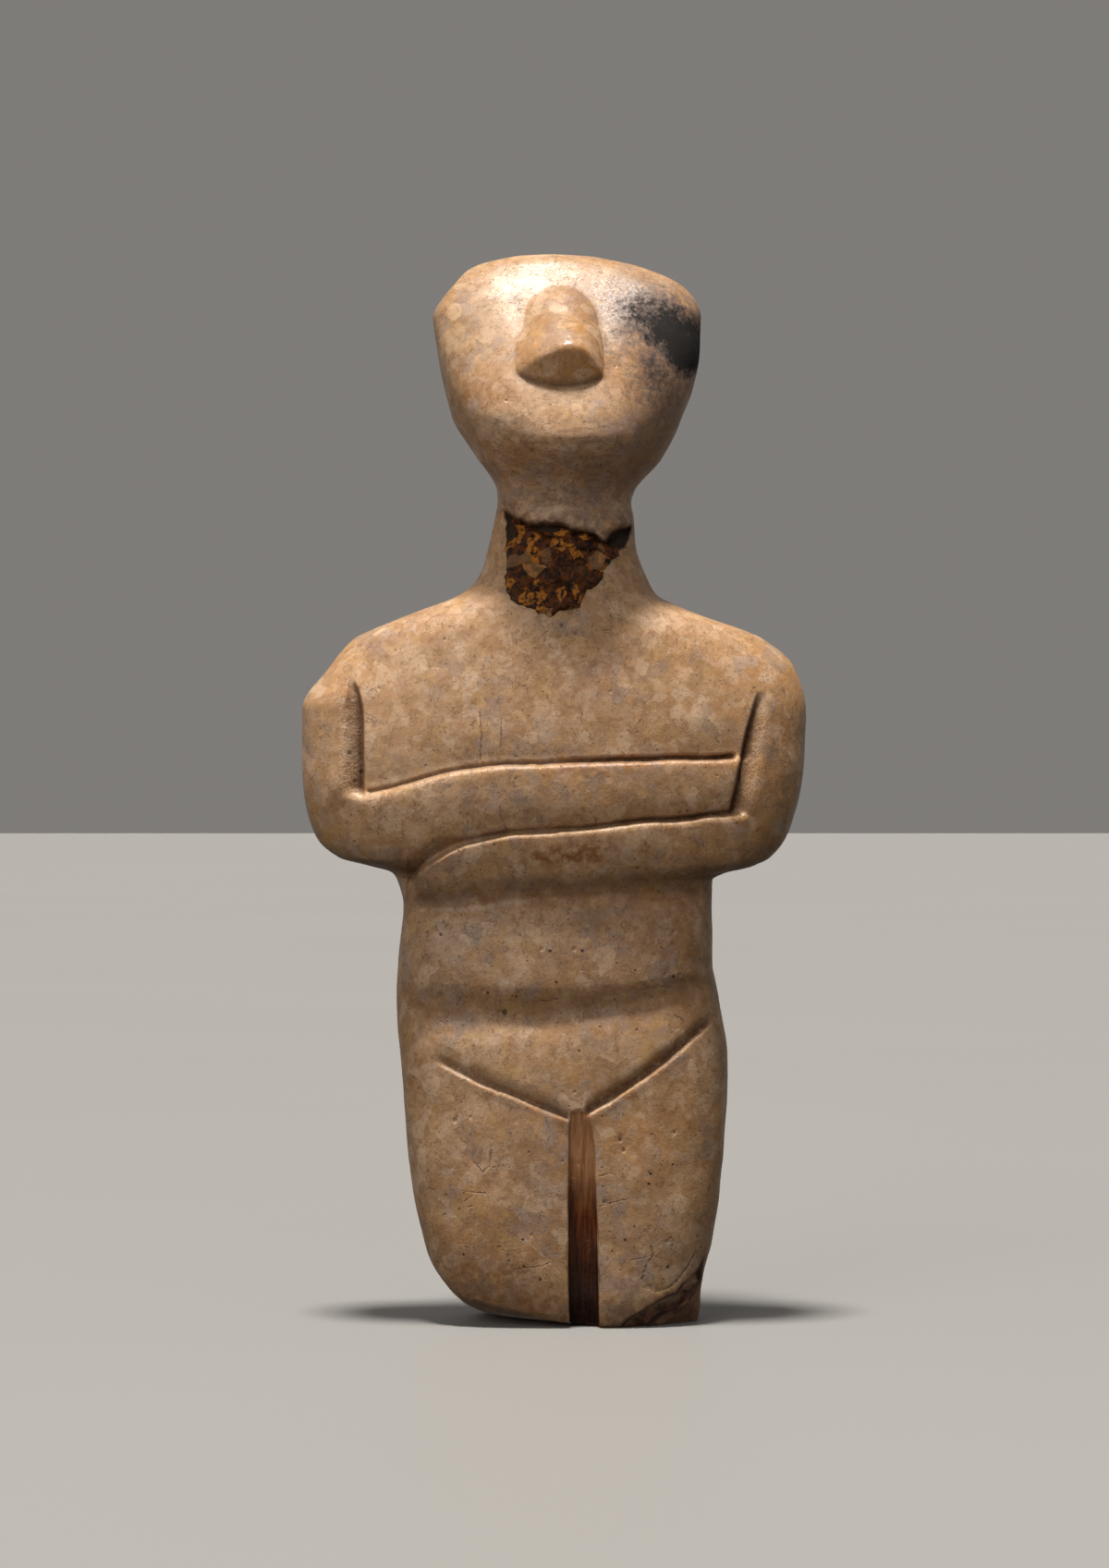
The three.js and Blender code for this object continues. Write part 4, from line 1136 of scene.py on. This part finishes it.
def marble():
    g = Graph("marble")
    dirt_and_shade, slot, hollow_stain_and_shade, spall = (g.attr(k) for k in ("dirt_and_shade", "slot", "hollow_stain_and_shade", "spall"))
    rim_a, burn, honey, pale_and_highlight, stain_and_shade, break_and_shade = (g.attr(k) for k in ("rim", "burn", "honey", "pale_and_highlight", "stain_and_shade", "fracture"))
    grey_a, bottom_dark, step_a = (g.attr(k) for k in ("grey", "bottom_dark", "stepout"))

    broad = g.noise(0.055, 3.0, 0.55)
    mid = g.noise(0.22, 4.0, 0.6, 0.4)
    small = g.noise(0.9, 4.0, 0.62)
    tiny = g.noise(3.2, 3.0, 0.6)
    micro = g.noise(7.5, 2.0, 0.6)

    ivory, tan, amber = (0.60, 0.375, 0.205), (0.46, 0.245, 0.105), (0.50, 0.235, 0.058)
    c = g.mix(g.remap(broad, 0.38, 0.64), tan, ivory)
    c = g.mix(g.remap(mid, 0.42, 0.68, 0.0, 0.75), c, (0.56, 0.345, 0.185))
    # honey tints
    h = g.math("MULTIPLY", honey, g.remap(mid, 0.30, 0.60, 0.45, 1.0))
    c = g.mix(g.math("MULTIPLY", h, 0.85), c, amber)
    # cream tone, on the front mostly painted highlight on the lit faces
    c = g.mix(g.math("MULTIPLY", g.math("MINIMUM", pale_and_highlight, 1.0), 0.75), c, (0.72, 0.54, 0.38))

    # soft blotches: pinkish cream, yellow ochre and lilac-grey
    blotch = g.noise(0.42, 3.0, 0.55, 0.5)
    c = g.mix(g.remap(blotch, 0.52, 0.62, 0.0, 0.68), c, (0.66, 0.44, 0.28))
    c = g.mix(g.remap(blotch, 0.47, 0.36, 0.0, 0.66), c, (0.38, 0.205, 0.090))
    yellow = g.remap(g.noise(0.20, 3.0, 0.55, 0.6), 0.52, 0.66)
    c = g.mix(g.math("MULTIPLY", yellow, 0.62), c, (0.56, 0.335, 0.125))

    # crystals: angular cells of slightly different tone, in patches, some lilac-grey and some cream
    wp = g.warp(0.8, 0.9)
    cell = g.voronoi(0.50, vector=wp, out="Color")
    tone = g.new("ShaderNodeSeparateColor")
    g.link(cell, tone.inputs[0])
    patches = g.remap(g.noise(0.11, 3.0, 0.6), 0.40, 0.58, 0.30, 1.0)
    dark_cell = g.math("MULTIPLY", g.remap(tone.outputs[0], 0.0, 1.0, 0.0, 0.58, False), patches)
    c = g.mix(dark_cell, c, (0.38, 0.225, 0.12))
    cream = g.math("MULTIPLY", g.remap(tone.outputs[2], 0.66, 0.86), patches)
    c = g.mix(g.math("MULTIPLY", cream, 0.60), c, (0.70, 0.50, 0.34))
    lilac_in = g.math("ADD", g.remap(g.noise(0.13, 2.0), 0.46, 0.60, 0.10, 0.8), grey_a)
    lilac = g.math("MULTIPLY", g.remap(tone.outputs[1], 0.50, 0.80), lilac_in, clamp=True)
    c = g.mix(g.math("MULTIPLY", lilac, 0.68), c, (0.33, 0.24, 0.20))
    lilac_soft = g.remap(g.noise(0.62, 2.0, 0.5, 0.3), 0.58, 0.70)
    c = g.mix(g.math("MULTIPLY", g.math("MULTIPLY", lilac_soft, lilac_in, clamp=True), 0.45), c, (0.30, 0.225, 0.19))
    c = g.mix(g.math("MULTIPLY", grey_a, g.remap(small, 0.36, 0.60, 0.15, 0.55)), c, (0.36, 0.265, 0.225))
    seams = g.voronoi(0.50, "DISTANCE_TO_EDGE", vector=wp)
    seam = g.math("MULTIPLY", g.remap(seams, 0.05, 0.0), g.remap(small, 0.44, 0.58))
    c = g.mix(g.math("MULTIPLY", g.math("MULTIPLY", seam, patches), 0.42), c, (0.23, 0.12, 0.055))
    # ochre and brown washes, and fine brown mottle
    wash = g.remap(g.noise(0.34, 5.0, 0.66, 0.6), 0.50, 0.66)
    c = g.mix(g.math("MULTIPLY", wash, 0.56), c, (0.37, 0.19, 0.07))
    wash2 = g.math("MULTIPLY", g.remap(g.noise(0.75, 5.0, 0.7, 0.3), 0.55, 0.70), g.remap(mid, 0.40, 0.60, 0.2, 1.0))
    c = g.mix(g.math("MULTIPLY", wash2, 0.50), c, (0.27, 0.135, 0.055))
    c = g.mix(g.remap(small, 0.52, 0.68, 0.0, 0.32), c, (0.29, 0.15, 0.065))
    c = g.mix(g.remap(tiny, 0.56, 0.72, 0.0, 0.30), c, (0.24, 0.13, 0.065))
    c = g.mix(g.remap(g.noise(1.9, 4.0, 0.68), 0.53, 0.42, 0.0, 0.14), c, (0.72, 0.50, 0.33))
    # thin layers that show as streaks across the jaw, the neck and the lower end
    layer = g.noise(1.0, 5.0, 0.66, 1.5, stretch=(0.42, 0.5, 1.15))
    la = g.math("MULTIPLY", g.attr("strata"), g.remap(layer, 0.50, 0.60))
    c = g.mix(g.math("MULTIPLY", la, 0.50), c, (0.22, 0.125, 0.075))
    # short brown hairlines that curl
    curl_a = g.math("ABSOLUTE", g.math("SUBTRACT", g.noise(0.55, 3.0, 0.5, 1.2), 0.5))
    curl_b = g.math("ABSOLUTE", g.math("SUBTRACT", g.noise(0.85, 2.0, 0.5, 0.8), 0.47))
    hair = g.math("MULTIPLY", g.remap(curl_a, 0.011, 0.002), g.remap(g.noise(0.45, 4.0, 0.7), 0.46, 0.55))
    hair2 = g.math("MULTIPLY", g.remap(curl_b, 0.013, 0.002), g.remap(g.noise(0.60, 4.0, 0.7, 0.2), 0.48, 0.56))
    hair = g.math("MAXIMUM", hair, hair2)
    c = g.mix(g.math("MULTIPLY", hair, 0.72), c, (0.145, 0.070, 0.028))

    # specks, in drifts
    speck = g.voronoi(0.42, vector=g.warp(0.5, 2.2), out="Distance")
    pick = g.new("ShaderNodeSeparateColor")
    g.link(g.voronoi(0.42, vector=g.warp(0.5, 2.2), out="Color"), pick.inputs[0])
    dot = g.math("MULTIPLY", g.remap(speck, 0.095, 0.05), g.remap(pick.outputs[0], 0.50, 0.56))
    fine_speck = g.voronoi(1.7, vector=g.warp(0.4, 2.0), out="Distance")
    drift = g.remap(g.noise(0.26, 3.0, 0.6), 0.55, 0.64)
    dot = g.math("MAXIMUM", dot, g.math("MULTIPLY", g.remap(fine_speck, 0.20, 0.10), drift))
    c = g.mix(g.math("MULTIPLY", dot, 0.75), c, (0.10, 0.045, 0.02))
    # whitish crushed crystal in drifts, and whitish specks on the worn lips of the cuts as painted highlight where
    # the lips catch the light
    dust_and_highlight = g.math("ADD", g.remap(g.noise(0.24, 3.0, 0.6), 0.58, 0.66, 0.0, 0.7), g.attr("grain"), clamp=True)
    dust_and_highlight = g.math("MULTIPLY", dust_and_highlight, g.remap(g.noise(4.6, 2.0, 0.7), 0.54, 0.66))
    c = g.mix(g.math("MULTIPLY", dust_and_highlight, 0.62), c, (0.80, 0.60, 0.42))

    # the marks that can be named one by one, on the front only
    flat = g.vmul(g.warp(0.34, 2.4), (1.0, 0.0, 1.0))
    front = g.attr("front")
    broken = g.remap(g.noise(0.9, 3.0, 0.6), 0.40, 0.56, 0.25, 1.0)
    crack = g.math("MULTIPLY", g.math("MULTIPLY", g.remap(g.strokes(CRACKS, flat), 0.10, -0.03), front), broken)
    c = g.mix(g.math("MULTIPLY", crack, 0.66), c, (0.125, 0.058, 0.026))
    scratch = g.math("MULTIPLY", g.math("MULTIPLY", g.remap(g.strokes(SCRATCHES, flat), 0.07, 0.0), front), broken)
    c = g.mix(g.math("MULTIPLY", scratch, 0.34), c, (0.80, 0.62, 0.46))
    named = g.math("MULTIPLY", g.remap(g.dots(SPECKS, flat), 0.06, -0.04), front)
    c = g.mix(g.math("MULTIPLY", named, 0.88), c, (0.050, 0.024, 0.014))

    # stains, and old soil in the cuts; both also carry painted shade
    # staining, partly painted shade on the chest and the belly
    st = g.math("MULTIPLY", stain_and_shade, g.remap(g.noise(0.75, 4.0, 0.65), 0.38, 0.60))
    so = g.math("MULTIPLY", g.attr("soot"), g.remap(g.noise(0.8, 5.0, 0.7), 0.36, 0.60, 0.25, 1.0))
    c = g.mix(g.math("MULTIPLY", so, 0.75), c, (0.19, 0.115, 0.075))
    c = g.mix(g.math("MULTIPLY", st, 0.85, clamp=True), c, (0.230, 0.070, 0.010))
    # recesses under the forearms and the belly roll, and the arm troughs: brown staining and painted shade
    ho = g.math("MULTIPLY", hollow_stain_and_shade, g.remap(g.noise(0.35, 4.0, 0.6), 0.30, 0.62, 0.35, 1.0))
    c = g.mix(g.math("MULTIPLY", ho, 0.68), c, (0.21, 0.10, 0.036))
    # the cuts darkened: brown soil with painted shade
    di = g.math("MULTIPLY", dirt_and_shade, g.remap(g.noise(1.6, 4.0, 0.65), 0.22, 0.55, 0.40, 1.0))
    c = g.mix(g.math("MULTIPLY", di, 0.92), c, (0.115, 0.048, 0.016))
    # darker towards the broken lower end
    gr = g.math("MULTIPLY", bottom_dark, g.remap(g.noise(0.45, 4.0, 0.65), 0.36, 0.60, 0.25, 1.0))
    c = g.mix(g.math("MULTIPLY", gr, 0.75), c, (0.21, 0.105, 0.045))
    # polished brown floor of the slot, with painted shade that darkens it towards the bottom
    streak = g.noise(1.0, 4.0, 0.6, stretch=(1.9, 1.0, 0.14))
    upper_floor = g.mix(g.remap(streak, 0.35, 0.68), (0.36, 0.150, 0.055), (0.56, 0.285, 0.135))
    lower_floor = g.mix(g.remap(streak, 0.35, 0.70), (0.055, 0.010, 0.0015), (0.23, 0.060, 0.009))
    amber_floor = g.mix(g.remap(g.attr("low"), 0.10, 0.55), upper_floor, lower_floor)
    shaded_deep_floor = g.mix(g.remap(streak, 0.35, 0.70), (0.014, 0.0035, 0.001), (0.055, 0.014, 0.003))
    amber_floor = g.mix(g.remap(g.attr("low"), 0.55, 1.0), amber_floor, shaded_deep_floor)
    amber_floor = g.mix(g.math("MULTIPLY", scratch, 0.5), amber_floor, (0.60, 0.42, 0.30))
    c = g.mix(g.remap(slot, 0.25, 0.8), c, amber_floor)
    # spalled stone, painted near black as painted shade in the gaps under the lip, and the ragged lip above it
    c = g.mix(g.math("MULTIPLY", spall, 0.95), c, (0.013, 0.005, 0.003))
    ri = g.math("MULTIPLY", rim_a, g.remap(g.noise(0.9, 3.0, 0.6), 0.36, 0.62))
    c = g.mix(g.math("MULTIPLY", ri, 0.55), c, (0.14, 0.075, 0.05))
    # fracture faces and the underside: dark red-brown, darkened as painted shade, with paler crystals where it steps
    # out again
    bc = g.mix(g.remap(small, 0.38, 0.62), (0.020, 0.005, 0.003), (0.090, 0.028, 0.014))
    bc = g.mix(g.math("MULTIPLY", step_a, g.remap(tone.outputs[2], 0.25, 0.6, 0.35, 1.0)), bc, (0.33, 0.175, 0.10))
    c = g.mix(g.math("MULTIPLY", break_and_shade, 0.94), c, bc)
    # burnt patch, black in the middle and speckled at its edge
    grainy = g.noise(1.15, 6.0, 0.78)
    b0 = g.math("ADD", burn, g.math("MULTIPLY", g.math("SUBTRACT", grainy, 0.5), 1.7))
    ash = g.remap(b0, 0.08, 0.62, 0.0, 0.84)
    black = g.remap(b0, 0.42, 0.90, 0.0, 0.985)
    keep = g.remap(burn, 0.02, 0.2)
    c = g.mix(g.math("MULTIPLY", ash, keep), c, (0.135, 0.088, 0.072))
    c = g.mix(g.math("MULTIPLY", black, keep), c, (0.0040, 0.0026, 0.0024))
    g.link(c, g.bsdf.inputs["Base Color"])

    # roughness: waxy polish, duller in cuts and on breaks
    r = g.remap(mid, 0.3, 0.7, 0.34, 0.44, False)
    r = g.math("ADD", r, g.remap(tiny, 0.35, 0.7, -0.03, 0.07, False))
    r = g.math("ADD", r, g.math("MULTIPLY", dirt_and_shade, 0.25))
    r = g.math("ADD", r, g.math("MULTIPLY", break_and_shade, 0.34))
    r = g.math("SUBTRACT", r, g.math("MULTIPLY", slot, 0.16))
    r = g.math("SUBTRACT", r, g.math("MULTIPLY", honey, 0.05))
    r = g.math("ADD", r, g.math("MULTIPLY", spall, 0.5))
    r = g.math("ADD", r, g.math("MULTIPLY", g.math("MULTIPLY", black, keep), 0.45), clamp=True)
    g.link(r, g.bsdf.inputs["Roughness"])

    # fine relief below the mesh's own: little on the polish, more on the granular floors
    height = g.math("MULTIPLY", tiny, 0.35)
    height = g.math("ADD", height, g.math("MULTIPLY", small, 0.70))
    height = g.math("ADD", height, g.math("MULTIPLY", tone.outputs[0], 0.07))
    height = g.math("SUBTRACT", height, g.math("MULTIPLY", dot, 0.5))
    height = g.math("SUBTRACT", height, g.math("MULTIPLY", hair, 0.45))
    height = g.math("SUBTRACT", height, g.math("MULTIPLY", crack, 1.2))
    height = g.math("SUBTRACT", height, g.math("MULTIPLY", named, 1.2))
    rough_share = g.math("ADD", 0.10, g.math("MULTIPLY", g.math("ADD", dirt_and_shade, break_and_shade), 0.7))
    height = g.math("ADD", height, g.math("MULTIPLY", micro, rough_share))
    grains = g.noise(2.7, 3.0, 0.7)
    height = g.math("ADD", height, g.math("MULTIPLY", g.math("MULTIPLY", grains, g.attr("grain")), 2.6))
    height = g.math("ADD", height, g.math("MULTIPLY", g.math("MULTIPLY", grainy, black), 0.6))
    height = g.math("MULTIPLY", height, g.remap(g.attr("calm"), 0.0, 1.0, 1.0, 0.5))
    g.link(g.bump(height, 0.55, 0.00016), g.bsdf.inputs["Normal"])

    b = g.bsdf.inputs
    b["Subsurface Weight"].default_value = 0.22
    b["Subsurface Radius"].default_value = (1.0, 0.42, 0.2)
    b["Subsurface Scale"].default_value = 0.0022
    b["IOR"].default_value = 1.5
    b["Specular IOR Level"].default_value = 0.42
    return g.mat


def crust_material():
    g = Graph("crust")
    lumps = g.voronoi(0.55, vector=g.warp(0.9, 0.9), out="Color")
    tone = g.new("ShaderNodeSeparateColor")
    g.link(lumps, tone.inputs[0])
    small = g.noise(1.1, 5.0, 0.68)
    tiny = g.noise(3.6, 3.0, 0.6)
    c = g.mix(g.remap(small, 0.36, 0.66), (0.012, 0.003, 0.0008), (0.165, 0.046, 0.005))
    spots = g.math("MULTIPLY", g.remap(tone.outputs[0], 0.60, 0.72), g.remap(small, 0.42, 0.56))
    c = g.mix(g.math("MULTIPLY", spots, 0.9), c, (0.56, 0.205, 0.024))
    c = g.mix(g.remap(tiny, 0.56, 0.72, 0.0, 0.7), c, (0.012, 0.005, 0.003))
    c = g.mix(g.math("MULTIPLY", g.remap(tone.outputs[1], 0.86, 0.94), 0.5), c, (0.36, 0.21, 0.10))
    g.link(c, g.bsdf.inputs["Base Color"])
    g.link(g.remap(small, 0.3, 0.7, 0.34, 0.62), g.bsdf.inputs["Roughness"])
    height = g.math("ADD", g.math("MULTIPLY", small, 1.3), g.math("MULTIPLY", tiny, 0.8))
    g.link(g.bump(height, 0.8, 0.0003), g.bsdf.inputs["Normal"])
    g.bsdf.inputs["IOR"].default_value = 1.5
    g.bsdf.inputs["Specular IOR Level"].default_value = 0.28
    return g.mat


fine.materials.clear()
fine.materials.append(marble())
crust_me.materials.clear()
crust_me.materials.append(crust_material())

# ----------------------------------------------------------------------- floor and light

floor_me = bpy.data.meshes.new("floor")
S = 6.0
floor_me.from_pydata([(-S, -S, 0), (S, -S, 0), (S, S, 0), (-S, S, 0)], [], [(0, 1, 2, 3)])
floor = bpy.data.objects.new("floor", floor_me)
bpy.context.scene.collection.objects.link(floor)
fg = Graph("floor_pale")
fg.link(fg.mix(fg.noise(0.004, 2.0), (0.27, 0.268, 0.262), (0.285, 0.283, 0.277)), fg.bsdf.inputs["Base Color"])
fg.bsdf.inputs["Roughness"].default_value = 0.55
floor_me.materials.append(fg.mat)
# the floor shows and takes shadows, but throws little light back up at the figure
floor.visible_diffuse = False
floor.visible_glossy = False

world = bpy.data.worlds.new("studio")
bpy.context.scene.world = world
world.use_nodes = True
wt = world.node_tree
wt.nodes.clear()
wo = wt.nodes.new("ShaderNodeOutputWorld")
bg = wt.nodes.new("ShaderNodeBackground")
direction = wt.nodes.new("ShaderNodeTexCoord")
split = wt.nodes.new("ShaderNodeSeparateXYZ")
wt.links.new(direction.outputs["Generated"], split.inputs[0])
ramp = wt.nodes.new("ShaderNodeMapRange")
ramp.interpolation_type = "SMOOTHSTEP"
for key, val in (("From Min", -0.5), ("From Max", 0.02), ("To Min", 0.05), ("To Max", 0.21)):
    ramp.inputs[key].default_value = val
wt.links.new(split.outputs["Z"], ramp.inputs["Value"])
wt.links.new(ramp.outputs[0], bg.inputs["Strength"])
bg.inputs["Color"].default_value = (1.0, 0.955, 0.90, 1)
wt.links.new(bg.outputs[0], wo.inputs[0])


def aim(o, at, target):
    o.location = at
    o.rotation_euler = Vector([t - a for t, a in zip(target, at)]).to_track_quat("-Z", "Y").to_euler()
    bpy.context.scene.collection.objects.link(o)


def sun(name, azimuth, elevation, angle, strength, colour):
    """A wide soft source: azimuth 0 is in front, positive to the viewer's right."""
    light = bpy.data.lights.new(name, "SUN")
    light.angle, light.energy, light.color = np.radians(angle), strength, colour
    az, el = np.radians(azimuth), np.radians(elevation)
    at = (2 * np.sin(az) * np.cos(el), -2 * np.cos(az) * np.cos(el), 2 * np.sin(el))
    aim(bpy.data.objects.new(name, light), at, (0, 0, 0))


def panel(name, at, target, size, watts, colour):
    light = bpy.data.lights.new(name, "AREA")
    light.shape = "RECTANGLE"
    light.size, light.size_y = size
    light.energy, light.color = watts, colour
    aim(bpy.data.objects.new(name, light), at, target)


sun("overhead", -22, 82.3, 9, 5.2, (1.0, 0.945, 0.88))
panel("front", (-0.50, -0.90, 0.50), (0, 0, 0.08), (0.6, 0.6), 3.3, (1.0, 0.94, 0.875))

cam = bpy.data.cameras.new("camera")
cam.sensor_fit = "AUTO"
cam.sensor_width = 36.0
cam.lens = 99.65
cam.clip_start, cam.clip_end = 0.01, 50.0
camera = bpy.data.objects.new("camera", cam)
camera.location = (SHIFT[0] / 1000, -0.608 + SHIFT[1] / 1000, 0.075)
camera.rotation_euler = (np.pi / 2, 0, 0)
bpy.context.scene.collection.objects.link(camera)
bpy.context.scene.camera = camera
bpy.context.scene.view_settings.view_transform = "Standard"
